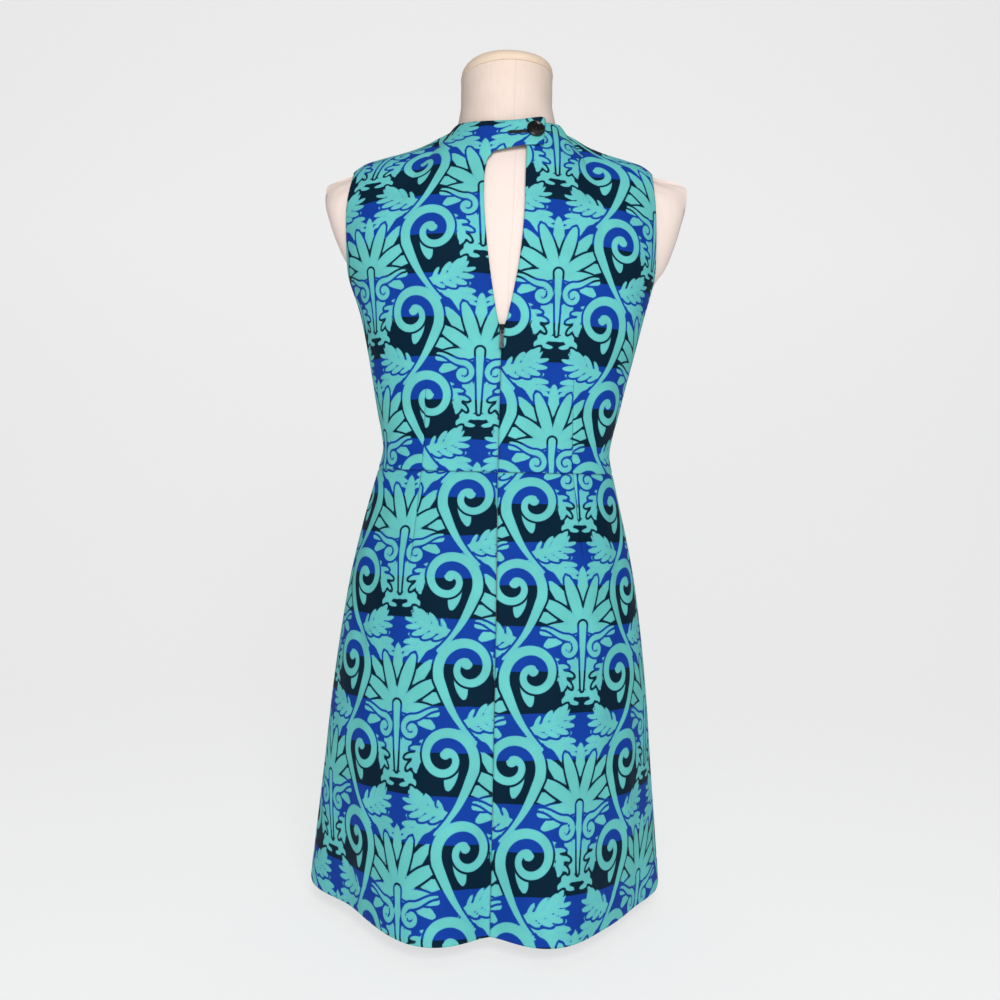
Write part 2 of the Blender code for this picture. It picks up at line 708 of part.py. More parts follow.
def add_outline(curve, points):
    spline = curve.splines.new("POLY")
    spline.points.add(len(points) - 1)
    for point, (x, y) in zip(spline.points, points):
        point.co = (x, y, 0, 1)
    spline.use_cyclic_u = True


def build_pull_tab(pivot, collection):
    """A flat teardrop tab with an eye. Its origin is on the hinge line, along its top bar."""
    curve = bpy.data.curves.new("zip_pull_tab", "CURVE")
    curve.dimensions = "2D"
    curve.fill_mode = "BOTH"
    curve.extrude = PULL_THICKNESS / 2
    top = PULL_BAR / 2
    widest = -PULL_LENGTH + PULL_HALF_WIDTH
    outline = [(EYE_HALF_WIDTH + 0.0005, top), (EYE_HALF_WIDTH + 0.0008, top - 0.0004),
               (EYE_HALF_WIDTH + 0.0007, top - EYE_LENGTH - 0.001)]
    for k in range(9):
        angle = math.radians(12 - 102 * k / 8)
        outline.append((PULL_HALF_WIDTH * math.cos(angle), widest + PULL_HALF_WIDTH * math.sin(angle)))
    mirrored = [(-x, y) for x, y in outline[-2::-1]]
    add_outline(curve, outline + mirrored)
    bottom = top - PULL_BAR - EYE_LENGTH
    add_outline(curve, [(-EYE_HALF_WIDTH, -top), (EYE_HALF_WIDTH, -top),
                        (EYE_HALF_WIDTH - 0.0002, bottom), (-EYE_HALF_WIDTH + 0.0002, bottom)])
    tab = put_in(bpy.data.objects.new("zip_pull_tab", curve), "zip_pull_tab", "zip_black", collection)
    tab.location = pivot
    tab.rotation_euler = (math.pi / 2, 0, 0)


# ---------------------------------------------------------------- dress form and stand


BODICE_FORM_RISES = (0.0, 0.2, 0.4, 0.6, 0.8, 1.0, 1.08, 1.17, 1.27, 1.37, 1.47, 1.57, 1.67, 1.77,
                     1.86, 1.94, 2.0)
FORM_HALF_TURNS = (0.0, 0.11, 0.22, 0.33, 0.44, 0.50, 0.56, 0.63, 0.70, 0.78, 0.85, 0.89, 0.93, 0.965, 1.0)
NECK_BLENDS = (0.30, 0.60, 0.85, 1.0)
NECK_CLOSING = 1.15
NECK_COLUMN_HEIGHT = 0.893


def form_point(turn, rise, facing):
    """A place on the form under the bodice, drawn out into the shoulder stump in the armhole."""
    rise = np.full_like(turn, rise)
    safe = np.clip(rise, 0, 1.995)
    inner = np.clip(turn, -0.9999, 0.9999)
    normal = outward(level_bodice_point, inner, safe, facing)
    on_ridge = (rise > 1.999) & (np.abs(turn) > NECK_TURN - 1e-6)
    shared = outward(level_bodice_point, inner, safe, BACK)
    normal = np.where(on_ridge[..., None], shared, normal)
    level = ((np.abs(turn) > 0.999) | on_ridge)[..., None]
    normal = np.where(level, normal * np.array([1.0, 0.0, 1.0]), normal)
    ease = EASE_BODICE + SHOULDER_EASE * np.clip((rise - 1.2) / 0.3, 0, 1) + CLOTH
    place = level_bodice_point(turn, rise, facing) - unit(normal) * ease[..., None]
    edge = np.minimum(armhole_turn(rise) + STUMP_CLEARANCE, STUMP_EDGE)
    part = np.clip((np.abs(turn) - edge) / (STUMP_FULL - edge), 0, 1) ** STUMP_SWELL
    part = np.where(rise > 1.0, part, 0.0)
    reach = column(STUMP, "reach", "height", place[..., 2]) + np.sign(turn) * STUMP_SHIFT
    grown = np.maximum(reach, np.abs(place[..., 0]))
    place[..., 0] += np.sign(turn) * part * (grown - np.abs(place[..., 0]))
    place[..., 2] -= STUMP_DROP * part * np.clip(1 - (2 - rise) / STUMP_DROP_RISE, 0, 1)
    return stance(place)


def form_low_point(turn, height, facing):
    """A place on the form's hips, inside the skirt."""
    ease = float(through([h for h, _ in FORM_EASE], [e for _, e in FORM_EASE], height))
    level = np.full_like(turn, height)
    normal = outward(girth_point, np.clip(turn, -0.9999, 0.9999), level, facing)
    normal[..., 2] = 0
    normal[..., 1] = np.where(np.abs(turn) > 0.999, 0, normal[..., 1])
    place = girth_point(turn, level, facing) - unit(normal) * (ease + CLOTH)
    place[..., 2] = height
    return stance(place)


def ring_of(point, level):
    """A closed ring of places, along the back from left to right and then back along the front."""
    half = np.array(FORM_HALF_TURNS)
    whole = np.concatenate([-half[:0:-1], half])
    back = point(whole, level, BACK)
    front = point(whole[::-1], level, FRONT)
    return np.concatenate([back, front[1:-1]])


def loft_rings(mesh, rings):
    """Faces between closed rings of equal length, from the lowest to the highest."""
    rows = [[mesh.verts.new(point) for point in ring] for ring in rings]
    count = len(rows[0])
    for low, high in zip(rows, rows[1:]):
        for k in range(count):
            mesh.faces.new([low[k], low[(k + 1) % count], high[(k + 1) % count], high[k]])
    return rows


def neck_ring(angles, height, scale=1.0, tilt=0.0, slant=0.0):
    x = FORM_NECK_BREADTH * scale * np.sin(angles)
    y = -FORM_NECK_DEPTH * scale * np.cos(angles)
    return stance(np.stack([x, y, height - tilt * y + slant * x], axis=-1))


def build_form(collection):
    """The torso: hips, waist, bust, shoulders with stumps, and the neck, as one closed loft."""
    rings = [ring_of(form_low_point, height) for height, _ in FORM_EASE[:-1]]
    rings += [ring_of(form_point, rise) for rise in BODICE_FORM_RISES]
    mesh = bmesh.new()
    rows = loft_rings(mesh, rings)
    mesh.faces.new(rows[0][::-1])
    turns = ring_turns()
    neck = [k for k, turn in enumerate(turns) if abs(turn) < NECK_TURN + 1e-6]
    neck_low = [rows[-1][k] for k in neck]
    angles = np.array([neck_angle(turns[k], k) for k in neck])
    order = np.argsort(angles)
    neck_low = [neck_low[k] for k in order]
    angles = angles[order]
    base = np.array([vertex.co[:] for vertex in neck_low])
    column_ring = neck_ring(angles, NECK_COLUMN_HEIGHT)
    tops = []
    for climb in NECK_BLENDS:
        closing = min(1, NECK_CLOSING * climb)
        tops.append(base + (column_ring - base) * np.array([closing, closing, climb]))
    tops.append(neck_ring(angles, NECK_CUT_HEIGHT - SEAM_GAP, 1, CAP_TILT, CAP_SLANT))
    low = neck_low
    for ring in tops:
        high = [mesh.verts.new(point) for point in ring]
        for k in range(len(low)):
            after = (k + 1) % len(low)
            mesh.faces.new([low[k], low[after], high[after], high[k]])
        low = high
    mesh.faces.new(low)
    bmesh.ops.remove_doubles(mesh, verts=mesh.verts, dist=1e-5)
    bmesh.ops.recalc_face_normals(mesh, faces=mesh.faces)
    object_from_bmesh(mesh, "form_torso", "form_linen", collection)


def ring_turns():
    half = list(FORM_HALF_TURNS)
    whole = [-t for t in half[:0:-1]] + half
    return whole + whole[::-1][1:-1]


def neck_angle(turn, index):
    """The angle round the neck, from the centre back through the right side."""
    on_back = index < 2 * len(FORM_HALF_TURNS) - 1
    angle = turn / NECK_TURN * math.pi / 2
    return angle if on_back else math.pi - angle if turn >= 0 else -math.pi - angle


CAP_PROFILE = ((0.000, 1.000), (0.150, 1.000), (0.360, 0.975), (0.530, 0.915), (0.690, 0.805),
               (0.830, 0.590), (0.940, 0.350), (0.988, 0.150))


def build_cap(collection):
    """The domed cap that closes the neck."""
    angles = np.linspace(0, 2 * math.pi, 33)[:-1]
    rise = CAP_TOP_HEIGHT - NECK_CUT_HEIGHT
    rings = [neck_ring(angles, NECK_CUT_HEIGHT + rise * part, scale, CAP_TILT * (1 - part),
                       CAP_SLANT * (1 - part)) for part, scale in CAP_PROFILE]
    mesh = bmesh.new()
    rows = loft_rings(mesh, rings)
    mesh.faces.new(rows[0][::-1])
    crown = mesh.verts.new(stance(np.array([0, 0, CAP_TOP_HEIGHT])))
    for k in range(len(angles)):
        mesh.faces.new([rows[-1][k], rows[-1][(k + 1) % len(angles)], crown])
    object_from_bmesh(mesh, "form_neck_cap", "cap_linen", collection)


def build_stand(collection):
    """A round weighted base with a collar, and the pole that carries the torso."""
    r, h, e, c = BASE_RADIUS, BASE_THICKNESS, BASE_EDGE, COLLAR_EDGE
    profile = [(0, COLLAR_HEIGHT), (COLLAR_RADIUS - 3 * c, COLLAR_HEIGHT), (COLLAR_RADIUS - c, COLLAR_HEIGHT - c),
               (COLLAR_RADIUS, h), (r - 2 * e, h), (r - 0.6 * e, h - 0.35 * e), (r, h - e), (r, e / 3),
               (r - e / 3, 0), (0, 0)]
    turned("stand_base", profile, 40, "base_enamel", collection)
    low = COLLAR_HEIGHT + SEAM_GAP
    high = FORM_EASE[0][0] - SEAM_GAP
    bpy.ops.mesh.primitive_cylinder_add(vertices=24, radius=POLE_RADIUS, depth=high - low,
                                        location=(0, 0, (low + high) / 2))
    pole = put_in(bpy.context.object, "stand_pole", "stand_metal", collection)
    pole.data.shade_smooth()
    pole.data.set_sharp_from_angle(angle=math.radians(40))


# ---------------------------------------------------------------- build


def main():
    clear_scene()
    dress = make_collection("a_line_dress_on_form")
    cutters = make_collection("cutters")
    build_back_bodice(dress)
    build_front_bodice(dress)
    build_skirt(dress)
    build_button(dress, cutters)
    build_zip(dress, cutters)
    build_form(dress)
    build_cap(dress)
    build_stand(dress)


main()
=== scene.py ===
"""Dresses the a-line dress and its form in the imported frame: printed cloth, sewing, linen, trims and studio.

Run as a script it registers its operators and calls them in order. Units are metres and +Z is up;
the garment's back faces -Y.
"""

from collections import namedtuple
import math

import bmesh
import bpy
from mathutils import Matrix, Vector
import numpy as np


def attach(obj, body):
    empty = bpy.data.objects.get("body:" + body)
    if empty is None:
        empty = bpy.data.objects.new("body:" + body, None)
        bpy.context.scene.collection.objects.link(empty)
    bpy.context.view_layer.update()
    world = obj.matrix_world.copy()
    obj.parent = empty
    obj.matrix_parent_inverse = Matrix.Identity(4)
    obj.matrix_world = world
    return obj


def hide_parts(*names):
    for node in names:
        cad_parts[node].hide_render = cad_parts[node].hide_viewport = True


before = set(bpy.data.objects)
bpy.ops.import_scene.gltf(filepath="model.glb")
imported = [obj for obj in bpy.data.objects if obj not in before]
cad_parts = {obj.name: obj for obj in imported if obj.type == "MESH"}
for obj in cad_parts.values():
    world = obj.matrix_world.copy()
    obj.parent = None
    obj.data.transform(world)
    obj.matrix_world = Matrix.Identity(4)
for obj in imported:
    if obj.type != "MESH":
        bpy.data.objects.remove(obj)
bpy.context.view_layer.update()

bl_info = {
    "name": "A-line dress on a form",
    "version": (1, 0, 0),
    "blender": (4, 5, 0),
    "location": "3D View > Sidebar > Dress",
    "description": "Builds the printed a-line dress, its form, stand and studio",
    "category": "Object",
}

DRESS_BODY = "dress_on_form"
BACK, FRONT = -1, 1


def table(columns, *rows):
    """Named columns of numbers. The others are read along the first."""
    return dict(zip(columns.split(), np.transpose(rows)))


# ---------------------------------------------------------------- sizes of the dress and form

CLOTH = 0.0012
SEAM_GAP = 0.0003
SHOULDER_SEAM_GAP = 0.0006
HEM_HEIGHT = 0.020
HEM_FOLD = 0.030
WAIST_HEIGHT = 0.4793
UNDERARM_HEIGHT = 0.686

GIRTHS = table(
    "height breadth back front back_round front_round",
    (0.0200, 0.1960, 0.1950, 0.1640, 1.80, 1.90),
    (0.0800, 0.1905, 0.1840, 0.1590, 1.85, 1.95),
    (0.1500, 0.1836, 0.1710, 0.1530, 1.92, 2.00),
    (0.2300, 0.1765, 0.1560, 0.1450, 1.98, 2.05),
    (0.3100, 0.1668, 0.1410, 0.1345, 2.06, 2.10),
    (0.3650, 0.1583, 0.1260, 0.1230, 2.12, 2.15),
    (0.4200, 0.1465, 0.1070, 0.1090, 2.15, 2.15),
    (0.4600, 0.1366, 0.0920, 0.0985, 2.15, 2.15),
    (0.4793, 0.1318, 0.0875, 0.0950, 2.15, 2.15),
    (0.5010, 0.1276, 0.0862, 0.0950, 2.15, 2.15),
    (0.5200, 0.1302, 0.0872, 0.0975, 2.15, 2.15),
    (0.5417, 0.1352, 0.0895, 0.1020, 2.15, 2.15),
    (0.5824, 0.1437, 0.0950, 0.1150, 2.15, 2.20),
    (0.6231, 0.1527, 0.1010, 0.1260, 2.15, 2.25),
    (0.6502, 0.1590, 0.1040, 0.1265, 2.15, 2.25),
    (0.6860, 0.1700, 0.1065, 0.1210, 2.15, 2.20),
)

Bust = namedtuple("Bust", "height turn rise half_height half_turn")
BUST = Bust(0.622, 0.36, 0.010, 0.050, 0.24)

# The neckline's depth from the middle, its drop at the centre line and how flat it runs there.
NECKS = {BACK: (0.0625, 0.0070, 1.5), FRONT: (0.0690, 0.0628, 1.15)}
NECK_HALF_BREADTH = 0.0625
NECK_TURN = 0.44

# The shoulder line from the neck to its tip: distance from the middle and height.
SHOULDER_LINE = table(
    "reach height",
    (0.0565, 0.8665),
    (0.0740, 0.8573),
    (0.0881, 0.8491),
    (0.1090, 0.8398),
    (0.1380, 0.8308),
    (0.1560, 0.8252),
    (0.1690, 0.8160),
)
SHOULDER_TIP = SHOULDER_LINE["reach"][-1]

# How far the armhole's edge stands in from the side's turn at each rise.
ARMHOLE = table(
    "rise cut",
    (1.00, 0.000), (1.05, 0.066), (1.12, 0.126), (1.20, 0.154), (1.29, 0.152), (1.39, 0.137), (1.50, 0.122),
    (1.61, 0.110), (1.71, 0.097), (1.80, 0.082), (1.86, 0.066), (1.93, 0.038), (2.00, 0.000),
)

# The way in which the cloth climbs to the top edge, at each turn from the centre line.
CLIMBS = {
    BACK: table(
        "turn across forward up start_pull end_pull",
        (0.00, 0.00, 0.42, 0.91, 0.36, 0.30),
        (0.22, -0.24, 0.46, 0.85, 0.36, 0.32),
        (0.44, -0.34, 0.68, 0.60, 0.40, 0.38),
        (0.60, -0.20, 0.88, 0.40, 0.45, 0.42),
        (0.78, -0.14, 0.96, 0.22, 0.49, 0.45),
        (0.90, -0.34, 0.85, 0.34, 0.48, 0.44),
        (1.00, -0.74, 0.00, 0.68, 0.46, 0.44),
    ),
    FRONT: table(
        "turn across forward up start_pull end_pull",
        (0.00, 0.00, -0.45, 0.90, 0.34, 0.30),
        (0.22, -0.22, -0.50, 0.84, 0.36, 0.32),
        (0.44, -0.34, -0.66, 0.62, 0.38, 0.38),
        (0.60, -0.20, -0.88, 0.40, 0.44, 0.42),
        (0.78, -0.14, -0.96, 0.22, 0.47, 0.45),
        (0.90, -0.34, -0.85, 0.34, 0.46, 0.44),
        (1.00, -0.74, 0.00, 0.68, 0.46, 0.44),
    ),
}

# Soft folds of the skirt: the turn where they stand, their half width, their reach at the hem, their top.
FOLDS = {
    BACK: (
        (0.00, 0.12, -0.0250, 0.36),
        (-0.23, 0.16, 0.0220, 0.40),
        (0.22, 0.16, 0.0210, 0.40),
        (-0.64, 0.18, -0.0170, 0.30),
        (0.67, 0.17, -0.0100, 0.33),
    ),
    FRONT: (
        (0.04, 0.15, -0.0080, 0.32),
        (-0.30, 0.15, 0.0130, 0.38),
        (0.34, 0.17, 0.0110, 0.40),
        (-0.66, 0.15, -0.0070, 0.30),
        (0.70, 0.14, -0.0060, 0.28),
    ),
}
FOLD_GROWTH = 1.5

# Half of the keyhole's width at each height, and the neck tab that closes it above.
KEYHOLE = table(
    "height half_width",
    (0.6290, 0.0000), (0.6352, 0.0030), (0.6540, 0.0077), (0.6749, 0.0117), (0.7073, 0.0167),
    (0.7438, 0.0203), (0.7783, 0.0219), (0.8020, 0.0214), (0.8150, 0.0195),
)
KEYHOLE_WIDEST = 6
KEYHOLE_SQUEEZE = 0.40
TAB_ROOT = 0.0125
TAB_END = 0.0378
UNDERLAP_EDGE = 0.0220
TAB_FOOT_RISE = 1.71
TAB_LOW_RISE = 1.763
TAB_EDGE_RISE = 1.800
TAB_LEVEL_SHARE = 0.58
TAB_FLARE = 0.0030
TAB_FLARE_FROM = 0.010
TAB_PEAK = 0.0036
TAB_CORNER = 0.0024
TAB_STEP_END = 0.018
LAP_LIFT = CLOTH + 0.0006

# Lengths over which one unit of rise or turn is spread where the seams run.
CLIMB_LENGTH = 0.15
BODICE_TURN_LENGTH = 0.20
SKIRT_TURN_LENGTH = 0.22

BUTTON_RADIUS = 0.0099
BUTTON_THICKNESS = 0.0032
BUTTON_RIM = 0.0018
BUTTON_HOLE_RADIUS = 0.0008
BUTTON_HOLE_SPREAD = 0.0026
BUTTON_PLACE = 0.0287
BUTTON_RISE = 1.900
BUTTON_STAND_OFF = 0.0007
BUTTONHOLE = namedtuple("Buttonhole", "rise start end half_height")(1.895, 0.0024, 0.0250, 0.0011)

EASE_BODICE = 0.0048
SHOULDER_EASE = 0.0010
FORM_EASE = table(
    "height ease",
    (0.236, 0.0330), (0.244, 0.0180), (0.262, 0.0125), (0.300, 0.0100), (0.360, 0.0080), (0.420, 0.0060),
    (WAIST_HEIGHT, EASE_BODICE),
)
FORM_FOOT = FORM_EASE["height"][0]
FORM_NECK_BREADTH = 0.0514
FORM_NECK_DEPTH = 0.0555
NECK_CLOSING = 1.15
NECK_COLUMN_HEIGHT = 0.893
NECK_CUT_HEIGHT = 0.9205
CAP_TOP_HEIGHT = 0.9478
CAP_TILT = 0.120
CAP_SLANT = 0.035
CAP_PROFILE = table(
    "climb scale",
    (0.000, 0.985), (0.020, 0.998), (0.150, 1.000), (0.360, 0.975), (0.530, 0.915), (0.690, 0.805), (0.830, 0.590),
)
NO_SEAM = 40

# The shoulder stump's reach at each height.
STUMP = table(
    "height reach",
    (0.6860, 0.1640), (0.6950, 0.1680), (0.7070, 0.1775), (0.7316, 0.1895), (0.7587, 0.1985),
    (0.7780, 0.2035), (0.7900, 0.2040), (0.8000, 0.2025), (0.8084, 0.1920), (0.8165, 0.1760),
)
STUMP_SHIFT = 0.0065
STUMP_CLEARANCE = 0.012
STUMP_EDGE = 0.970
STUMP_FULL = 0.985
STUMP_SWELL = 0.8
STUMP_DROP = 0.0035
STUMP_DROP_RISE = 0.10

# How the worn dress and its form stand: the sideways shift at each height, and the shoulders'
# slant, which grows between two heights.
STANCE = table(
    "height shift",
    (0.4400, 0.0000), (0.5146, 0.0012), (0.5688, 0.0023), (0.6231, 0.0036), (0.6500, 0.0036),
    (0.6900, 0.0020), (0.7300, 0.0004), (0.7900, -0.0004), (0.8300, 0.0028), (0.8550, 0.0046),
    (0.8720, 0.0048), (0.8860, 0.0034), (0.9600, 0.0034),
)
STANCE_REACH = 0.048
SLANT = 0.0244
SLANT_FROM = 0.640
SLANT_TO = 0.780

# Where the linen's centre seam runs down the back of the form.
SEAM_COURSE = table(
    "height aside",
    (0.7000, 0.0060), (0.7450, 0.0090), (0.7900, 0.0100), (0.8240, 0.0115), (0.8820, 0.0094), (0.9210, 0.0100),
)

BASE_RADIUS = 0.124
BASE_THICKNESS = 0.009
COLLAR_RADIUS = 0.024
COLLAR_HEIGHT = 0.016
POLE_RADIUS = 0.0140

# Each panel: where the print starts on it, its flat cut (width, length, area), its darts (aside and
# along at foot and tip, take-up) and its creases (aside and along at both ends, half width, reach).
# Aside runs from the centre line, along from the waist.
Panel = namedtuple("Panel", "print_start cut darts creases")
PANELS = {
    "back_bodice_left": Panel(
        (0.022, 0.012),
        (0.250, 0.399, 0.0741),
        ((0.0835, 0.000, 0.0800, 0.092, 0.010),),
        (
            (0.026, 0.010, 0.092, 0.036, 0.0070, -0.0012),
            (0.100, 0.060, 0.140, 0.020, 0.0080, 0.0014),
            (0.050, 0.130, 0.130, 0.190, 0.0140, -0.0015),
            (0.096, 0.250, 0.140, 0.300, 0.0100, 0.0014),
        ),
    ),
    "back_bodice_right": Panel(
        (0.071, 0.016),
        (0.205, 0.399, 0.0732),
        ((0.0835, 0.000, 0.0800, 0.100, 0.010),),
        (
            (0.022, 0.024, 0.084, 0.012, 0.0070, -0.0012),
            (0.104, 0.020, 0.138, 0.064, 0.0080, 0.0012),
            (0.060, 0.190, 0.140, 0.150, 0.0130, -0.0015),
            (0.100, 0.300, 0.146, 0.240, 0.0100, 0.0014),
        ),
    ),
    "front_bodice": Panel(
        (0.040, 0.050),
        (0.425, 0.393, 0.1548),
        (
            (-0.0800, 0.000, -0.0860, 0.085, 0.009),
            (0.0800, 0.000, 0.0860, 0.088, 0.009),
            (-0.1740, 0.130, -0.1160, 0.142, 0.000),
            (0.1740, 0.132, 0.1160, 0.143, 0.000),
        ),
        (
            (-0.060, 0.010, -0.004, 0.030, 0.0080, -0.0014),
            (0.012, 0.022, 0.066, 0.008, 0.0080, -0.0012),
            (-0.140, 0.190, -0.100, 0.250, 0.0110, 0.0015),
            (0.108, 0.240, 0.144, 0.184, 0.0110, 0.0014),
            (-0.030, 0.220, 0.034, 0.226, 0.0120, -0.0012),
        ),
    ),
    "back_skirt_left": Panel(
        (0.103, 0.028),
        (0.320, 0.475, 0.1200),
        ((0.0835, 0.000, 0.0915, 0.096, 0.009),),
        (
            (0.090, 0.100, 0.112, 0.330, 0.0160, 0.0024),
            (0.040, 0.060, 0.048, 0.260, 0.0140, -0.0016),
            (0.132, 0.030, 0.168, 0.210, 0.0120, -0.0019),
            (0.012, 0.020, 0.016, 0.180, 0.0080, 0.0012),
            (0.150, 0.250, 0.176, 0.440, 0.0170, 0.0021),
        ),
    ),
    "back_skirt_right": Panel(
        (0.036, 0.034),
        (0.320, 0.475, 0.1200),
        ((0.0835, 0.000, 0.0935, 0.090, 0.009),),
        (
            (0.094, 0.098, 0.120, 0.300, 0.0150, 0.0023),
            (0.044, 0.120, 0.050, 0.340, 0.0150, -0.0018),
            (0.138, 0.020, 0.160, 0.170, 0.0110, -0.0018),
            (0.014, 0.010, 0.022, 0.120, 0.0080, 0.0010),
            (0.160, 0.220, 0.190, 0.420, 0.0160, 0.0019),
        ),
    ),
    "front_skirt": Panel(
        (0.120, 0.070),
        (0.560, 0.475, 0.2290),
        ((-0.0800, 0.000, -0.0870, 0.082, 0.008), (0.0800, 0.000, 0.0880, 0.078, 0.008)),
        (
            (-0.094, 0.090, -0.112, 0.320, 0.0160, 0.0023),
            (0.092, 0.086, 0.116, 0.300, 0.0150, 0.0021),
            (-0.030, 0.050, -0.036, 0.280, 0.0150, -0.0015),
            (0.046, 0.110, 0.054, 0.350, 0.0160, -0.0018),
            (-0.146, 0.030, -0.172, 0.190, 0.0120, -0.0018),
            (0.150, 0.050, 0.172, 0.220, 0.0110, -0.0015),
        ),
    ),
}

REPEAT = (0.258, 0.179)
PRINT_SCALE = 1.316
PRINT_STEP = 0.0007
PRINT_GAP = 0.0024
BAND_PAIR = 0.088
BAND_BLUE = 0.046
# How the bands' edges waver: reach, length of a wave and where it starts.
BAND_WAVES = ((0.0004, 0.168, 0.6), (0.0002, 0.028, 0.0))
LAYERS = ("print_back", "print_front", "print_arms")
TILE = []

# ---------------------------------------------------------------- smooth curves and surfaces


def share(value, low, high):
    """How far a value has come from low to high, kept between 0 and 1."""
    return np.clip((value - low) / (high - low), 0, 1)


def eased(part):
    """A share that sets out and arrives gently."""
    return part**2 * (3 - 2 * part)


def through(places, values, at):
    """A smooth curve through the values at their places, read at other places."""
    slopes = np.gradient(values, places)
    at = np.clip(at, places[0], places[-1])
    row = np.clip(np.searchsorted(places, at) - 1, 0, len(places) - 2)
    step = places[row + 1] - places[row]
    part = (at - places[row]) / step
    rest = 1 - part
    ends = (1 + 2 * part) * rest**2 * values[row] + (3 - 2 * part) * part**2 * values[row + 1]
    return ends + step * part * rest * (rest * slopes[row] - part * slopes[row + 1])


def column(rows, name, at):
    """A table's named column, read at places along its first column."""
    return through(next(iter(rows.values())), rows[name], at)


def cubic(a, b, c, d, t):
    """Places along a cubic curve."""
    return (1 - t) ** 3 * a + 3 * (1 - t) ** 2 * t * b + 3 * (1 - t) * t**2 * c + t**3 * d


def unit(vectors):
    """Vectors cut or stretched to a length of one."""
    return vectors / np.linalg.norm(vectors, axis=-1, keepdims=True)


def stance(places):
    """Moves places beside the middle sideways and slants the shoulders, as the worn dress stands."""
    height = places[..., 2].copy()
    places[..., 2] += SLANT * places[..., 0] * eased(share(height, SLANT_FROM, SLANT_TO))
    beside = np.clip(np.abs(places[..., 0]) / STANCE_REACH, 0, 1)
    places[..., 0] += column(STANCE, "shift", height) * eased(beside)
    return places


def girth_point(turn, height, facing):
    """A place on the body's girth at one height, with the bust on the front."""
    side = "back" if facing == BACK else "front"
    breadth, depth, roundness = (column(GIRTHS, name, height) for name in ("breadth", side, side + "_round"))
    angle = np.abs(turn) * math.pi / 2
    x = np.sign(turn) * breadth * np.sin(angle) ** (2 / roundness)
    y = facing * depth * np.clip(np.cos(angle), 0, 1) ** (2 / roundness)
    if facing == FRONT:
        beside = (np.abs(turn) - BUST.turn) / BUST.half_turn
        above = (height - BUST.height) / BUST.half_height
        y = y + BUST.rise * np.exp(-(beside**2) - above**2) * np.cos(angle)
    return np.stack([x, y, height + 0 * x], axis=-1)


def skirt_point(turn, height, facing):
    """A place on the skirt, which is the girth with the soft folds pushed out or in."""
    place = girth_point(turn, height, facing)
    push = 0
    for middle, half_width, reach, top in FOLDS[facing]:
        growth = share(height, top, HEM_HEIGHT) ** FOLD_GROWTH
        push = push + reach * growth * np.exp(-(((turn - middle) / half_width) ** 2))
    place[..., :2] += push[..., None] * unit(place[..., :2])
    return stance(place)


def top_edge(turn, facing):
    """The neckline from the centre line to the neck point, then the shoulder line to its tip."""
    depth, drop, power = NECKS[facing]
    sign, turn = np.sign(turn), np.abs(turn)
    angle = np.clip(turn / NECK_TURN, 0, 1) * math.pi / 2
    level = np.clip(np.cos(angle), 0, 1)
    x = NECK_HALF_BREADTH * np.sin(angle) + (SHOULDER_TIP - NECK_HALF_BREADTH) * share(turn, NECK_TURN, 1)
    z = column(SHOULDER_LINE, "height", x) - drop * level**power
    return np.stack([sign * x, facing * depth * level, z], axis=-1)


def level_bodice_point(turn, rise, facing):
    """A place on the bodice: girths up to the underarm, then one smooth climb to the top edge."""
    turn, rise = np.broadcast_arrays(np.asarray(turn, float), np.asarray(rise, float))
    low = girth_point(turn, WAIST_HEIGHT + (UNDERARM_HEIGHT - WAIST_HEIGHT) * np.clip(rise, 0, 1), facing)
    start, just_below = (girth_point(turn, np.full_like(turn, UNDERARM_HEIGHT - down), facing) for down in (0, 0.004))
    end = top_edge(turn, facing)
    names = list(CLIMBS[facing])[1:]
    across, forward, up, start_pull, end_pull = (column(CLIMBS[facing], name, np.abs(turn)) for name in names)
    arriving = unit(np.stack([np.sign(turn) * across, forward, up], axis=-1))
    reach = np.linalg.norm(end - start, axis=-1)
    second = start + unit(start - just_below) * (reach * start_pull)[..., None]
    third = end - arriving * (reach * end_pull)[..., None]
    high = cubic(start, second, third, end, np.clip(rise - 1, 0, 1)[..., None])
    return np.where((rise > 1)[..., None], high, low)


def bodice_point(turn, rise, facing):
    """A place on the bodice as it is worn."""
    return stance(level_bodice_point(turn, rise, facing))


def outward(surface, turn, rise, facing):
    """The outward direction of a surface at each place."""
    small = 1e-4
    along_turn = surface(turn + small, rise, facing) - surface(turn - small, rise, facing)
    along_rise = surface(turn, rise + small, facing) - surface(turn, rise - small, facing)
    return -facing * unit(np.cross(along_turn, along_rise))


def armhole_turn(rise):
    """The turn at which a bodice row ends: the side seam, then the armhole's edge."""
    return 1 - column(ARMHOLE, "cut", rise)


def turn_at_breadth(half_width, rise):
    """The turn at which the back bodice is half_width away from the centre line."""
    half_width, rise = np.broadcast_arrays(np.asarray(half_width, float), np.asarray(rise, float))
    low, high = np.zeros(half_width.shape), np.full(half_width.shape, 0.5)
    for _ in range(40):
        middle = (low + high) / 2
        short = level_bodice_point(middle, rise, BACK)[..., 0] < half_width
        low, high = np.where(short, middle, low), np.where(short, high, middle)
    return high


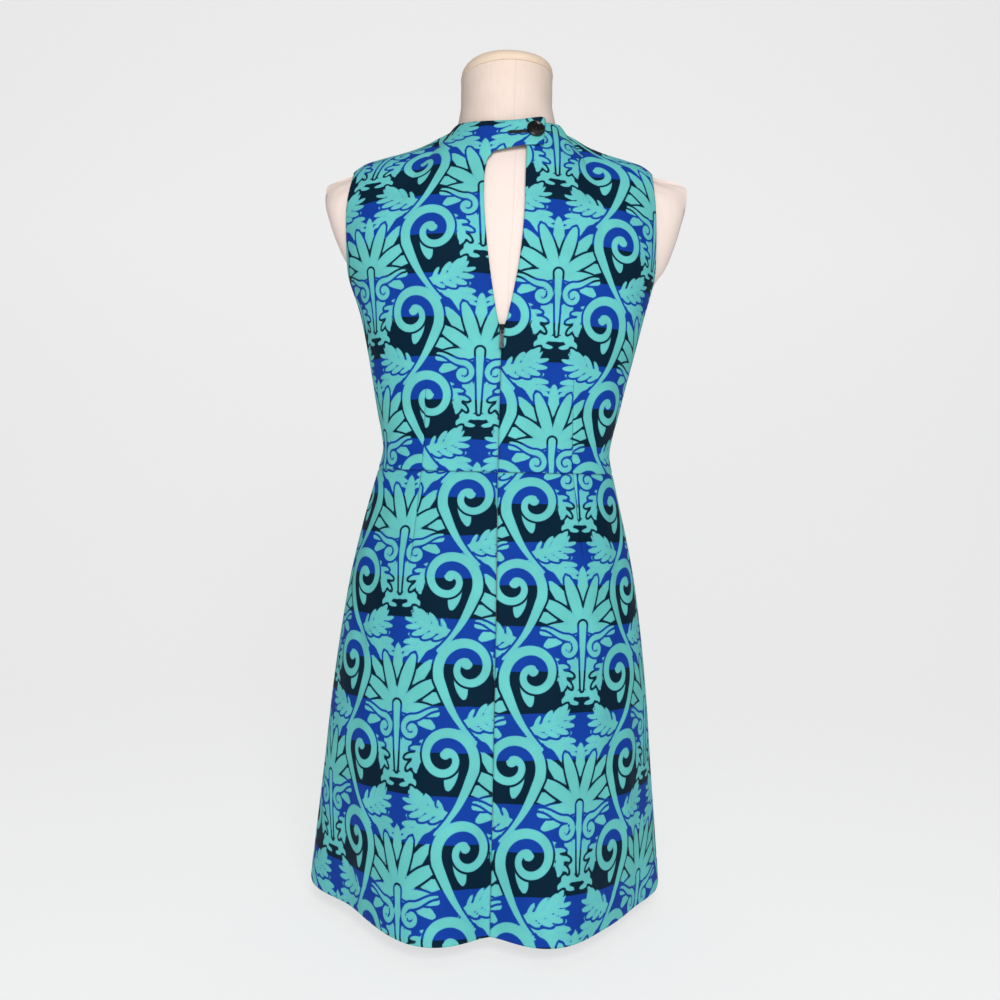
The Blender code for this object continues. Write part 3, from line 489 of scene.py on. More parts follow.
def back_start(rises, under_tab):
    """The turns at which the back rows begin: the centre seam, the keyhole, then under the tab."""
    height = level_bodice_point(np.full(rises.shape, 0.1), rises, BACK)[..., 2]
    half_width = np.maximum(SEAM_GAP / 2, column(KEYHOLE, "half_width", height))
    half_width = np.where(height <= KEYHOLE["height"][0], SEAM_GAP / 2, half_width)
    top = np.interp(TAB_FOOT_RISE, rises, half_width)
    climb = share(rises, TAB_FOOT_RISE, TAB_LOW_RISE)
    half_width = np.where(climb > 0, top + (under_tab - top) * climb, half_width)
    if under_tab == UNDERLAP_EDGE:
        from_height, widest = (KEYHOLE[name][KEYHOLE_WIDEST] for name in KEYHOLE)
        half_width = np.where(height > from_height, widest, half_width)
    return turn_at_breadth(half_width, rises)


def panel_turns(rises, columns, start):
    """The turns of each row, squeezed beside the keyhole, with room for the side seam."""
    end = armhole_turn(rises)[:, None] - SEAM_GAP / 2 / BODICE_TURN_LENGTH
    return columns[None, :] * end + start[:, None] * np.clip(1 - columns / KEYHOLE_SQUEEZE, 0, 1)[None, :]


def tab_row(rises, turns):
    """One row of the neck tab, which rises over the right back's edge, flares and lifts at its end."""
    places = bodice_point(turns, rises, BACK)
    aside = level_bodice_point(turns, rises, BACK)[:, 0]
    flare = share(aside, TAB_FLARE_FROM, TAB_END)
    lift = LAP_LIFT * eased(share(aside, -TAB_ROOT, TAB_STEP_END)) + TAB_FLARE * flare**1.5
    normal = outward(bodice_point, turns, np.minimum(np.full_like(turns, rises), 1.99), BACK)
    places = places + normal * lift[:, None]
    high = share(rises, TAB_EDGE_RISE, 2)
    places[:, 2] += TAB_PEAK * flare * high - TAB_CORNER * share(flare, 0.80, 1) ** 2 * high**3
    return places


# ---------------------------------------------------------------- the scroll print


def bezier(a, b, c, d, count):
    """Places and directions along a cubic curve."""
    t = np.linspace(0, 1, count)[:, None]
    a, b, c, d = (np.array(place, float) for place in (a, b, c, d))
    along = 3 * (1 - t) ** 2 * (b - a) + 6 * (1 - t) * t * (c - b) + 3 * t**2 * (d - c)
    return cubic(a, b, c, d, t), unit(along)


def toward(heading):
    """The direction at an angle in degrees, counted from the print's right."""
    return np.array([math.cos(math.radians(heading)), math.sin(math.radians(heading))])


def scroll(root, heading, centre, radius, start, turns, hand, widths, ball):
    """A stem that leaves its root and curls up round a centre, ending in a ball."""
    centre, root = np.array(centre, float), np.array(root, float)
    first = centre + radius * toward(start)
    reach = 0.40 * np.linalg.norm(first - root)
    stem, _ = bezier(root, root + reach * toward(heading), first - reach * toward(start + 90 * hand), first, 20)
    part = np.linspace(0, 1, int(34 * turns) + 8)
    angles = math.radians(start) + hand * part * turns * 2 * math.pi
    radii = radius * (1 - 0.80 * part**0.88)
    places = np.concatenate([stem, centre + np.stack([radii * np.cos(angles), radii * np.sin(angles)], -1)])
    curl_widths = widths[1] + (widths[2] - widths[1]) * part**0.8
    halves = np.concatenate([np.linspace(widths[0], widths[1], len(stem)), curl_widths, [ball * 2]]) / 2
    return np.vstack([places, places[-1] + (centre - places[-1]) * 0.35]), halves


def petal(base, heading, length, width, curl):
    """A petal, narrow at its base and pointed at its tip, bent sideways by curl."""
    part = np.linspace(0, 1, 13)
    places = np.array(base, float) + toward(heading) * length * part[:, None]
    places = places + toward(heading + 90) * curl * part[:, None] ** 2
    swell = part**0.75 * (1 - part) ** 0.62
    return places, width / 2 * swell / swell.max() + 0.25 * (1 - part)


def palmette(base, heading, spread, length, width, count):
    """Petals fanned out from one base, the middle ones the longest."""
    petals = []
    for k in range(count):
        lean = 2 * k / (count - 1) - 1
        size = length * (1 - 0.34 * lean**2) * (1 + 0.05 * (-1) ** k)
        turned = heading - lean * spread / 2
        petals.append(petal(np.array(base, float) + toward(turned) * 2.0, turned, size, width, -lean * size * 0.26))
    return petals


def frond(base, heading, tip, arrival, width, lobes):
    """A leaf: a spine with pointed lobes that lean toward its tip."""
    reach = 0.42 * np.linalg.norm(np.array(tip, float) - base)
    spine, along = bezier(base, base + reach * toward(heading), tip - reach * toward(arrival), tip, 60)
    parts = [(spine, 2.9 * (1 - np.linspace(0, 1, len(spine))) ** 0.6 + 0.4)]
    for k in range(lobes):
        place = 0.04 + 0.90 * k / lobes
        here = int(place * (len(spine) - 1))
        facing = math.degrees(math.atan2(along[here][1], along[here][0]))
        size = width * (0.42 + 0.58 * math.sin(math.pi * (0.12 + 0.80 * place))) * (1 - 0.45 * place**3)
        parts += [petal(spine[here], facing + side * (62 - 24 * place), size, size * 0.27, -side * size * 0.24)
                  for side in (-1, 1)]
    return parts


def plant():
    """The motifs of one plant in three layers, each painted over the one before, from its middle."""
    rays = palmette((49, 0), 90, 196, 47, 9.6, 13)
    back = [
        *rays[0::2],
        *frond((-14, -14), 168, (-40, -30), 232, 17, 6),
        *frond((-34, 14), 150, (-42, 50), 80, 17, 6),
    ]
    front = [
        *rays[1::2],
        *frond((8, 60), 20, (38, 76), 60, 17, 5),
        *frond((20, -22), 310, (32, -46), 240, 12, 4),
        petal((-6, 10), 80, 20, 9, -3),
    ]
    arms = [
        scroll((-16, -22), 42, (-8, 34), 24, -22, 1.30, 1, (2.0, 8.4, 4.6), 4.2),
        scroll((14, 2), 0, (36, -14), 8.5, 90, 1.15, -1, (1.6, 4.4, 3.2), 2.5),
        (np.array([(49.0, -46.0), (49.0, 4.0)]), np.array([0.8, 3.2])),
    ]
    return back, front, arms


def stroke_distance(x, y, places, halves):
    """Signed distance to a tapered stroke, below zero inside."""
    best = np.full(x.shape, 1e9)
    for start, end, half, end_half in zip(places[:-1], places[1:], halves[:-1], halves[1:]):
        along = end - start
        dx, dy = x - start[0], y - start[1]
        part = np.clip((dx * along[0] + dy * along[1]) / max(along @ along, 1e-9), 0, 1)
        away = np.hypot(dx - along[0] * part, dy - along[1] * part)
        best = np.minimum(best, away - half - (end_half - half) * part)
    return best


# Where each plant stands in the repeat, as mirror hand and shares of its width and height.
PLANTS = ((1, 0.25, 0.25), (-1, 0.25, 0.75), (-1, 0.75, 0.25), (1, 0.75, 0.75))


def print_tile():
    """One repeat of the print: how far each place is outside each layer's motifs, in millimetres."""
    across, up = (int(round(side / PRINT_STEP)) for side in REPEAT)
    size = np.array(REPEAT) * 1000
    step = PRINT_STEP * 1000
    x, y = np.meshgrid((np.arange(across) + 0.5) * step, (np.arange(up) + 0.5) * step)
    neighbours = [(i * size[0], j * size[1]) for i in (-1, 0, 1) for j in (-1, 0, 1)]
    layers = []
    for layer in plant():
        away = np.full(x.shape, 30.0)
        for places, halves in layer:
            for hand, right, above in PLANTS:
                placed = places * PRINT_SCALE * np.array([hand, 1]) + np.array([right, above]) * size
                low, high = placed.min(0) - 13, placed.max(0) + 13
                for aside, over in neighbours:
                    near = (x + aside > low[0]) & (x + aside < high[0]) & (y + over > low[1]) & (y + over < high[1])
                    if near.any():
                        found = stroke_distance(x[near] + aside, y[near] + over, placed, halves * PRINT_SCALE)
                        away[near] = np.minimum(away[near], found)
        layers.append(away)
    return layers


def read_tile(tile, u, v):
    """A layer's distance at places on the cloth, in millimetres, smoothly between its points."""
    rows, columns = tile.shape
    x, y = (u / PRINT_STEP - 0.5) % columns, (v / PRINT_STEP - 0.5) % rows
    left, low = np.floor(x).astype(int), np.floor(y).astype(int)
    right, high = (left + 1) % columns, (low + 1) % rows
    left, low = left % columns, low % rows
    fx, fy = x - np.floor(x), y - np.floor(y)
    lower = tile[low, left] * (1 - fx) + tile[low, right] * fx
    upper = tile[high, left] * (1 - fx) + tile[high, right] * fx
    return lower * (1 - fy) + upper * fy


def band_distance(u, v):
    """How far inside the navy bands a place is, in millimetres, and below zero on the blue ones."""
    wave = sum(reach * np.sin(u * 2 * math.pi / length + start) for reach, length, start in BAND_WAVES)
    place = (v + wave) % BAND_PAIR
    return 1000 * np.where(place < BAND_BLUE, -np.minimum(place, BAND_BLUE - place),
                           np.minimum(place - BAND_BLUE, BAND_PAIR - place))


# ---------------------------------------------------------------- materials


def shade(colour, factor=1.0, lift=0.0):
    """A colour as a material takes it, darker or lighter by a factor and a lift."""
    return (*(part * factor + lift for part in colour), 1.0)


class Nodes:
    """A small hand for laying out a material's nodes."""

    def __init__(self, name):
        self.material = bpy.data.materials.new(name)
        self.material.use_nodes = True
        self.tree = self.material.node_tree
        self.shader = self.tree.nodes["Principled BSDF"]
        self.column = 0

    def put(self, sockets, values):
        for key, value in values.items():
            if isinstance(value, bpy.types.NodeSocket):
                self.tree.links.new(value, sockets[key])
            else:
                sockets[key].default_value = value

    def add(self, kind, output, values=None, **settings):
        """A new node with its inputs and settings. Gives back one of its outputs."""
        node = self.tree.nodes.new("ShaderNode" + kind)
        self.column += 1
        node.location = (-240 * (1 + self.column % 7), -220 * (self.column // 7))
        for name, value in settings.items():
            setattr(node, name, value)
        self.put(node.inputs, values or {})
        return node.outputs[output]

    def math(self, operation, *values):
        return self.add("Math", 0, dict(enumerate(values)), operation=operation)

    def times(self, first, second):
        return self.math("MULTIPLY", first, second)

    def plus(self, first, second):
        return self.math("ADD", first, second)

    def ramp(self, value, low, high, to_low=0.0, to_high=1.0, kind="SMOOTHSTEP"):
        values = {"Value": value, "From Min": low, "From Max": high, "To Min": to_low, "To Max": to_high}
        return self.add("MapRange", "Result", values, interpolation_type=kind)

    def line(self, *values):
        return self.ramp(*values, kind="LINEAR")

    def mix(self, part, first, second, blend="MIX"):
        values = {"Factor": part, "A": first, "B": second}
        return self.add("Mix", "Result", values, data_type="RGBA", blend_type=blend)

    def attribute(self, name):
        return self.add("Attribute", "Fac", attribute_name=name)

    def position(self):
        return self.add("TexCoord", "Object")

    def stretched(self, vector, scale):
        return self.add("Mapping", "Vector", {"Vector": vector, "Scale": scale})

    def noise(self, vector, scale, detail=2.0):
        values = {"Vector": vector, "Scale": scale, "Detail": detail, "Roughness": 0.5}
        return self.add("TexNoise", "Fac", values)

    def wave(self, vector, scale, distortion, direction):
        values = {"Vector": vector, "Scale": scale, "Distortion": distortion, "Detail": 1.0, "Detail Scale": 2.0}
        return self.add("TexWave", "Fac", values, wave_type="BANDS", bands_direction=direction)

    def finish(self, colour, roughness, height, depth, strength, **values):
        """The finished material. Depth and strength are those of its relief. Values name other inputs."""
        relief = self.add("Bump", "Normal", {"Height": height, "Distance": depth, "Strength": strength})
        self.put(self.shader.inputs, {"Base Color": colour, "Normal": relief, "Roughness": roughness})
        self.put(self.shader.inputs, {name.replace("_", " "): value for name, value in values.items()})
        return self.material


def printed_cloth_material(look, name):
    """Matt woven stretch cloth with its print and painted shade along its dart seams, or its paler wrong side."""
    nodes = Nodes(name)
    uv = nodes.add("UVMap", "UV", uv_map="OFBake")
    motif = nodes.attribute(LAYERS[0])
    for layer in LAYERS[1:]:
        above = nodes.attribute(layer)
        edged = nodes.math("SUBTRACT", PRINT_GAP * 1000, above)
        motif = nodes.math("MINIMUM", nodes.math("MAXIMUM", motif, edged), above)
    fray = nodes.times(nodes.math("SUBTRACT", nodes.noise(uv, 900.0, 1.0), 0.5), 0.5)
    on_leaf = nodes.ramp(nodes.plus(motif, fray), 0.16, -0.16)
    on_navy = nodes.ramp(nodes.plus(nodes.attribute("print_band"), fray), -0.16, 0.16)
    ground = nodes.mix(on_navy, shade(look.royal), shade(look.navy))
    ground = nodes.mix(nodes.times(nodes.ramp(motif, 1.0, 0.0), 0.10), ground, shade(look.teal))
    inner = nodes.times(nodes.ramp(motif, -2.4, -0.1), 0.40)
    colour = nodes.mix(on_leaf, ground, nodes.mix(inner, shade(look.teal), shade(look.teal_edge)))
    cloud = nodes.line(nodes.noise(uv, 26.0, 3.0), 0.3, 0.7, 0.93, 1.06)
    speck = nodes.line(nodes.noise(uv, 1400.0), 0.25, 0.75, 0.90, 1.08)
    # Painted shade: the colour darkens to 0.45 along each dart's stitched seam, for the shade in its groove; cloud
    # and speck are random tone.
    dart = nodes.ramp(nodes.math("ABSOLUTE", nodes.attribute("dart_line")), 0.10, 0.70, 0.45, 1.0)
    tone_and_dart_shade = nodes.times(nodes.times(cloud, speck), dart)
    tone_and_dart_shade = nodes.add("CombineColor", "Color", {"Red": tone_and_dart_shade, "Green": tone_and_dart_shade, "Blue": tone_and_dart_shade})
    colour = nodes.mix(1.0, colour, tone_and_dart_shade, "MULTIPLY")
    if name.endswith("wrong_side"):
        colour = nodes.mix(0.45, colour, shade(look.wrong_side))
    threads = 1 / (look.thread * 2 * math.pi) * 3.1416
    weave = nodes.math("MAXIMUM", *(nodes.wave(uv, threads, 0.6, side) for side in "XY"))
    slub = nodes.noise(nodes.stretched(uv, (500.0, 90.0, 1.0)), 1.0)
    height = nodes.plus(nodes.plus(weave, nodes.times(slub, 0.7)), nodes.times(on_leaf, 0.5))
    rough = nodes.line(nodes.noise(uv, 60.0), 0.2, 0.8, 0.66, 0.80)
    return nodes.finish(colour, rough, height, 0.00010, 0.55,
                        Sheen_Weight=0.01, Sheen_Roughness=0.5, Specular_IOR_Level=0.07)


def linen_material(look, name, light, dark):
    """Natural linen drawn tight: crossing slubby threads, soft mottling and painted shade along its sewn seam line.
    """
    nodes = Nodes(name)
    place = nodes.position()
    warp, weft, depth = (nodes.wave(place, 260.0, 1.2, side) for side in "XZY")
    weave = nodes.math("MAXIMUM", nodes.math("MAXIMUM", warp, depth), weft)
    slub = nodes.noise(nodes.stretched(place, (700.0, 700.0, 60.0)), 1.0)
    cloud = nodes.noise(place, 22.0, 3.0)
    high = nodes.add("SeparateXYZ", "Z", {0: place})
    part = nodes.plus(nodes.times(slub, 0.35), nodes.times(cloud, 0.45))
    colour = nodes.mix(nodes.ramp(part, 0.25, 0.60), shade(light), shade(dark))
    colour = nodes.mix(nodes.times(nodes.ramp(high, 0.835, 0.800), 0.55), colour, shade(look.linen_pale))
    aged = nodes.times(nodes.ramp(high, 0.875, 0.940), nodes.ramp(cloud, 0.35, 0.65))
    colour = nodes.mix(nodes.times(aged, 0.40), colour, shade(look.cap_dark))
    # Painted shade: a darkened copy of the linen's darker colour along the centre seam, for the shade in the seam.
    seam = nodes.ramp(nodes.math("ABSOLUTE", nodes.attribute("seam_line")), 0.15, 0.85, 0.16, 0.0)
    colour = nodes.mix(seam, colour, shade(dark, 0.42))
    return nodes.finish(colour, nodes.line(cloud, 0.2, 0.8, 0.78, 0.92), nodes.plus(weave, nodes.times(slub, 0.8)),
                        0.00012, 0.5, Sheen_Weight=0.04, Specular_IOR_Level=0.15)


def gloss_black_material(name, colour, roughness, metallic):
    """Polished black with faint scuffs and a fine cast texture."""
    nodes = Nodes(name)
    place = nodes.position()
    scuff = nodes.noise(nodes.stretched(place, (900.0, 300.0, 900.0)), 1.0, 3.0)
    rough = nodes.line(nodes.noise(place, 400.0), 0.3, 0.7, roughness * 0.8, roughness * 1.3)
    worn = nodes.mix(nodes.ramp(scuff, 0.55, 0.80, 0.0, 0.5), shade(colour), shade(colour, 2, 0.004))
    return nodes.finish(worn, rough, scuff, 0.00002, 0.4, Metallic=metallic, Coat_Weight=0.10, Coat_Roughness=0.12)


def thread_material(name, colour):
    """Twisted sewing thread."""
    nodes = Nodes(name)
    twist = nodes.wave(nodes.position(), 900.0, 1.0, "DIAGONAL")
    tint = nodes.mix(nodes.ramp(twist, 0.2, 0.8), shade(colour), shade(colour, 1.8, 0.01))
    return nodes.finish(tint, 0.6, twist, 0.00005, 0.6)


def brushed_steel_material():
    """Steel tube, brushed round its length."""
    nodes = Nodes("brushed_steel_tube")
    place = nodes.position()
    brush = nodes.noise(nodes.stretched(place, (60.0, 60.0, 2600.0)), 1.0, 3.0)
    colour = nodes.mix(nodes.noise(place, 30.0), (0.50, 0.50, 0.49, 1), (0.62, 0.62, 0.60, 1))
    return nodes.finish(colour, nodes.line(brush, 0.2, 0.8, 0.25, 0.45), brush, 0.00003, 0.5, Metallic=1.0)


def enamel_material():
    """Satin off-white enamel with an orange-peel surface and a few worn marks."""
    nodes = Nodes("satin_enamel")
    place = nodes.position()
    peel = nodes.noise(place, 420.0)
    worn = nodes.times(nodes.ramp(nodes.noise(place, 38.0, 4.0), 0.60, 0.72), 0.25)
    colour = nodes.mix(worn, (0.72, 0.71, 0.68, 1), (0.52, 0.51, 0.48, 1))
    return nodes.finish(colour, nodes.line(peel, 0.2, 0.8, 0.34, 0.46), peel, 0.00006, 0.4)


# ---------------------------------------------------------------- mesh helpers

# How sharp a bend has to be for its shading to break there.
LINEN_EDGE, HARD_EDGE = math.radians(60), math.radians(40)


def keep(thing, slot, *nodes):
    """Puts a finished piece on the dress and hides the solids that it stands for. Its slot is not used."""
    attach(thing, DRESS_BODY)
    if nodes:
        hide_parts(*nodes)


def mesh_of(name, places, faces=(), edges=()):
    """A new mesh from its points and from the numbers of each face's or edge's points."""
    data = bpy.data.meshes.new(name)
    data.from_pydata(places, edges, faces)
    return data


def linked(name, data, *materials):
    """A new object in the scene, with its materials."""
    thing = bpy.data.objects.new(name, data)
    bpy.context.scene.collection.objects.link(thing)
    data.materials.clear()
    for material in materials:
        data.materials.append(material)
    return thing


def carry(data, name, values):
    """Gives each point of a mesh a number that its material reads."""
    data.attributes.new(name, "FLOAT", "POINT").data.foreach_set("value", np.asarray(values, np.float32))


def mound(away, height, width):
    """A soft bell of a height at a distance from its middle."""
    return height * np.exp(-((away / width) ** 2))


def lengths_along(points, axis):
    """The length along rows or columns of a grid, from its first row or column."""
    step = np.linalg.norm(np.diff(points, axis=axis), axis=-1)
    pad = [(0, 0), (0, 0)]
    pad[axis] = (1, 0)
    return np.cumsum(np.pad(step, pad), axis=axis)


def sides_of(points):
    """The distance along the cloth from each point to the first and last column and row."""
    u, v = lengths_along(points, 1), lengths_along(points, 0)
    return {"first": u, "last": u[:, -1:] - u, "low": v, "high": v[-1:, :] - v}


def grid_faces(shape, first, flipped):
    """The faces of a grid of points whose first point has the given number."""
    rows, columns = shape
    corner = first + (np.arange(rows - 1)[:, None] * columns + np.arange(columns - 1)[None, :]).ravel()
    quads = np.stack([corner, corner + 1, corner + columns + 1, corner + columns], -1)
    return quads[:, ::-1] if flipped else quads


def welded(places, faces):
    """Joins points that lie on each other, as where two sheets of one panel share an edge."""
    _, kept, where = np.unique(np.round(places, 6), axis=0, return_index=True, return_inverse=True)
    return places[kept], where.ravel()[faces], kept


# ---------------------------------------------------------------- cloth panels

# The relief of a dart: its stitched dip, the soft ridge beside it and the fullness at its tip, each
# as height and width. The hem's line of stitches, and the second layer of cloth below it.
DART_DIP, DART_RIDGE, DART_TIP = (0.0008, 0.0016), (0.0005, 0.0060), (0.0007, 0.013)
HEM_STITCH = (0.00035, 0.0022)
HEM_FULLNESS = 0.0003
# How deep and over what width the finished edges and seams roll in.
SIDE_ROLL, CENTRE_ROLL, SKIRT_SEAM_ROLL = (0.0008, 0.0022), (0.0008, 0.0020), (0.0008, 0.0018)
TOP_ROLL, TAB_END_ROLL, TAB_EDGE_ROLL = (0.0007, 0.0018), (0.0006, 0.0018), (0.0006, 0.0016)
WAIST_ROLL, BACK_WAIST_ROLL, HEM_ROLL = (0.0008, 0.0016), (0.0006, 0.0014), (0.0009, 0.0022)
# How far a crease runs on past its ends, as a share of its length, and how steeply creases and darts
# fade there.
CREASE_END = 0.15
CREASE_FADE = 3.2
DART_TIP_FADE, DART_FOOT_FADE = 5, 40
NO_DART = 20.0
TAB_BLEND = 0.004
# The lengths of cloth over which the panels' rows and columns of points are spread.
BODICE_RUNS = (0.207, 0.143, 0.041)
BACK_BREADTH, FRONT_BREADTH = 0.196, 0.208
SKIRT_LENGTH, BACK_SKIRT_BREADTH, FRONT_SKIRT_BREADTH = 0.465, 0.255, 0.245
# How much coarser the front's points are than the back's.
FRONT_BODICE_COARSER, FRONT_SKIRT_COARSER = 1.15, 1.13
# How close to its edges a surface's outward direction can be read.
LAST_TURN = 0.9995
LAST_RISE = 1.995


def segment_field(u, v, line):
    """Signed distance to a line and how far along it, as a share of its length."""
    start, end = np.array(line[:2]), np.array(line[2:])
    along = end - start
    length = np.linalg.norm(along)
    part = ((u - start[0]) * along[0] + (v - start[1]) * along[1]) / length**2
    aside = ((u - start[0]) * along[1] - (v - start[1]) * along[0]) / length
    return aside, part


def crease_push(panel, u, v):
    """How far the creases and darts push a panel out, in metres."""
    push = np.zeros(u.shape)
    for *line, half_width, reach in PANELS[panel].creases:
        aside, part = segment_field(u, v, line)
        fade = np.clip(part + CREASE_END, 0, 1) * np.clip(1 + CREASE_END - part, 0, 1)
        push += mound(aside, reach * eased(np.clip(fade * CREASE_FADE, 0, 1)), half_width)
    for *line, _ in PANELS[panel].darts:
        aside, part = segment_field(u, v, line)
        fade = np.clip((1.05 - part) * DART_TIP_FADE, 0, 1) * np.clip((part + 0.02) * DART_FOOT_FADE, 0, 1)
        push -= mound(aside, DART_DIP[0] * fade, DART_DIP[1])
        push += mound(aside, DART_RIDGE[0] * fade, DART_RIDGE[1])
        push += mound(np.hypot(u - line[2], v - line[3]), *DART_TIP)
    return push


def dart_lines(panel, u, v):
    """Signed distance to the nearest dart's seam, in millimetres."""
    nearest = np.full(u.shape, NO_DART)
    for *line, _ in PANELS[panel].darts:
        aside, part = segment_field(u, v, line)
        beyond = np.clip(part - 1, 0, None) * np.hypot(line[2] - line[0], line[3] - line[1])
        beyond += np.clip(-part, 0, None) * 0.1
        signed = 1000 * np.where(aside >= 0, 1, -1) * np.hypot(aside, beyond)
        nearest = np.where(np.abs(signed) < np.abs(nearest), signed, nearest)
    return nearest


def dart_take_up(panel, u, v):
    """How much of the print's width the darts swallow before each place."""
    swallowed = np.zeros(u.shape)
    for foot_aside, foot, tip_aside, tip, take_up in PANELS[panel].darts:
        part = share(v, foot, tip)
        line = foot_aside + (tip_aside - foot_aside) * part
        past = u > line if foot_aside > 0 else u < line
        swallowed += np.where(past, math.copysign(take_up, foot_aside) * (1 - part), 0)
    return swallowed


def edge_roll(arcs, **edges):
    """How far the finished edges and seams roll in, each side given as depth and width."""
    push = 0
    for side, (depth, width) in edges.items():
        push = push - depth * np.exp(-((arcs[side] / width) ** 1.5))
    return push


def cloth_panel(panel, sheets, materials):
    """A dense panel of printed cloth. Each sheet is points, normals, distances aside and along, and push."""
    (start_u, start_v), (width, length, area), _, _ = PANELS[panel]
    side = -1 if panel.endswith("left") else 1
    hung = "skirt" in panel
    places, faces, uv, first = [], [], [], 0
    attributes = {name: [] for name in (*LAYERS, "print_band", "dart_line")}
    for points, normals, u, v, push in sheets:
        out = u * side
        print_u = u + dart_take_up(panel, out, v) * side + start_u
        print_v = start_v + (-v if hung else v)
        read = [read_tile(layer, print_u, print_v) for layer in TILE]
        read += [band_distance(print_u, print_v), dart_lines(panel, out, v)]
        for values, found in zip(attributes.values(), read):
            values.append(found.ravel())
        places.append((points + normals * (push + crease_push(panel, out, v))[..., None]).reshape(-1, 3))
        uv.append(np.stack([print_u, print_v], -1).reshape(-1, 2))
        faces.append(grid_faces(u.shape, first, panel.startswith("front")))
        first += u.size
    places, faces, kept = welded(np.concatenate(places), np.concatenate(faces))
    data = mesh_of(panel + "_cloth", places.tolist(), faces.tolist())
    for name, values in attributes.items():
        carry(data, name, np.concatenate(values)[kept])
    loops = np.empty(len(data.loops), np.int32)
    data.loops.foreach_get("vertex_index", loops)
    uv = np.concatenate(uv)[kept][loops].astype(np.float32)
    data.uv_layers.new(name="OFBake").data.foreach_set("uv", uv.ravel())
    data.shade_smooth()
    thing = linked(panel + "_cloth", data, *materials)
    wall = thing.modifiers.new("Cloth thickness", "SOLIDIFY")
    wall.thickness = CLOTH
    wall.offset = -1
    wall.use_even_offset = True
    wall.material_offset = 1
    keep(thing, "printed_cloth", panel)


def bodice_rises(spacing):
    """Dense rows from the waist to the top edge, with a row on the tab's lower edge."""
    stops = (SEAM_GAP / 2 / (UNDERARM_HEIGHT - WAIST_HEIGHT), 1, TAB_LOW_RISE,
             2 - SHOULDER_SEAM_GAP / 2 / CLIMB_LENGTH)
    rows = [np.linspace(low, high, int(length / spacing) + 1)[1:]
            for low, high, length in zip(stops, stops[1:], BODICE_RUNS)]
    return np.concatenate([stops[:1], *rows])


def bodice_normals(turns, rises, facing):
    """The bodice's outward directions, read a little inside its edges."""
    inner = np.clip(turns, -LAST_TURN, LAST_TURN)
    return outward(bodice_point, inner, np.clip(np.broadcast_to(rises, turns.shape), 0, LAST_RISE), facing)


def neck_tab(rises, start, back, spacing):
    """The sheet of the neck tab, which goes on from the left back's sheet above its lower edge."""
    high = rises > TAB_LOW_RISE - 1e-6
    root, root_normals, _, root_along, root_push = (part[high, -1] for part in back)
    upper, begin, top = rises[high, None], start[high, None], rises[-1]
    across = np.linspace(0, 1, int((TAB_END + TAB_ROOT) / spacing) + 1)[None, :]
    low_edge = TAB_LOW_RISE + (TAB_EDGE_RISE - TAB_LOW_RISE) * np.clip(across / TAB_LEVEL_SHARE, 0, 1)
    climb = top - (top - upper) * (top - low_edge) / (top - TAB_LOW_RISE)
    end = turn_at_breadth(TAB_END, climb[:, -1])[:, None]
    turns = -begin + (end + begin) * across
    points = np.stack([tab_row(row, places) for row, places in zip(climb, turns)])
    normals = bodice_normals(turns, climb, BACK)
    arcs = sides_of(points)
    push = edge_roll(arcs, last=TAB_END_ROLL, low=TAB_EDGE_ROLL, high=TOP_ROLL)
    shared = mound(arcs["first"], 1, TAB_BLEND)
    push = push * (1 - shared) + root_push[:, None] * shared
    points[:, 0], normals[:, 0], push[:, 0] = root, root_normals, root_push
    return points, normals, arcs["first"] - TAB_ROOT, root_along[:, None] + (climb - upper) * CLIMB_LENGTH, push


def back_bodice(side, spacing, materials):
    """One back panel: the left one, side -1, has the neck tab, the right one the underlap beneath it."""
    rises = bodice_rises(spacing)
    start = back_start(rises, TAB_ROOT if side < 0 else UNDERLAP_EDGE)
    turns = side * panel_turns(rises, np.linspace(0, 1, int(BACK_BREADTH / spacing) + 1), start)
    points = bodice_point(turns, rises[:, None], BACK)
    arcs = sides_of(points)
    u = side * (arcs["first"] + np.abs(level_bodice_point(start, rises, BACK)[..., 0])[:, None])
    push = edge_roll(arcs, last=SIDE_ROLL, low=BACK_WAIST_ROLL, high=TOP_ROLL)
    seam = (rises <= TAB_LOW_RISE - 1e-6)[:, None] | (side > 0)
    push = push + np.where(seam, edge_roll(arcs, first=CENTRE_ROLL), 0)
    sheet = [points, bodice_normals(turns, rises[:, None], BACK), u, arcs["low"], push]
    if side > 0:
        cloth_panel("back_bodice_right", [sheet], materials)
    else:
        sheet = [part[:, ::-1] for part in sheet]
        cloth_panel("back_bodice_left", [sheet, neck_tab(rises, start, sheet, spacing)], materials)


def front_bodice(spacing, materials):
    """The front, from side seam to side seam. Aside is counted from its centre line."""
    rises = bodice_rises(spacing)
    columns = np.linspace(0, 1, int(FRONT_BREADTH / spacing) + 1)
    half = panel_turns(rises, columns, np.zeros(rises.shape))
    turns = np.concatenate([-half[:, :0:-1], half], axis=1)
    points = bodice_point(turns, rises[:, None], FRONT)
    arcs = sides_of(points)
    u = arcs["first"] - arcs["first"][:, len(columns) - 1:len(columns)]
    push = edge_roll(arcs, first=SIDE_ROLL, last=SIDE_ROLL, low=WAIST_ROLL, high=TOP_ROLL)
    normals = bodice_normals(turns, rises[:, None], FRONT)
    cloth_panel("front_bodice", [(points, normals, u, arcs["low"], push)], materials)


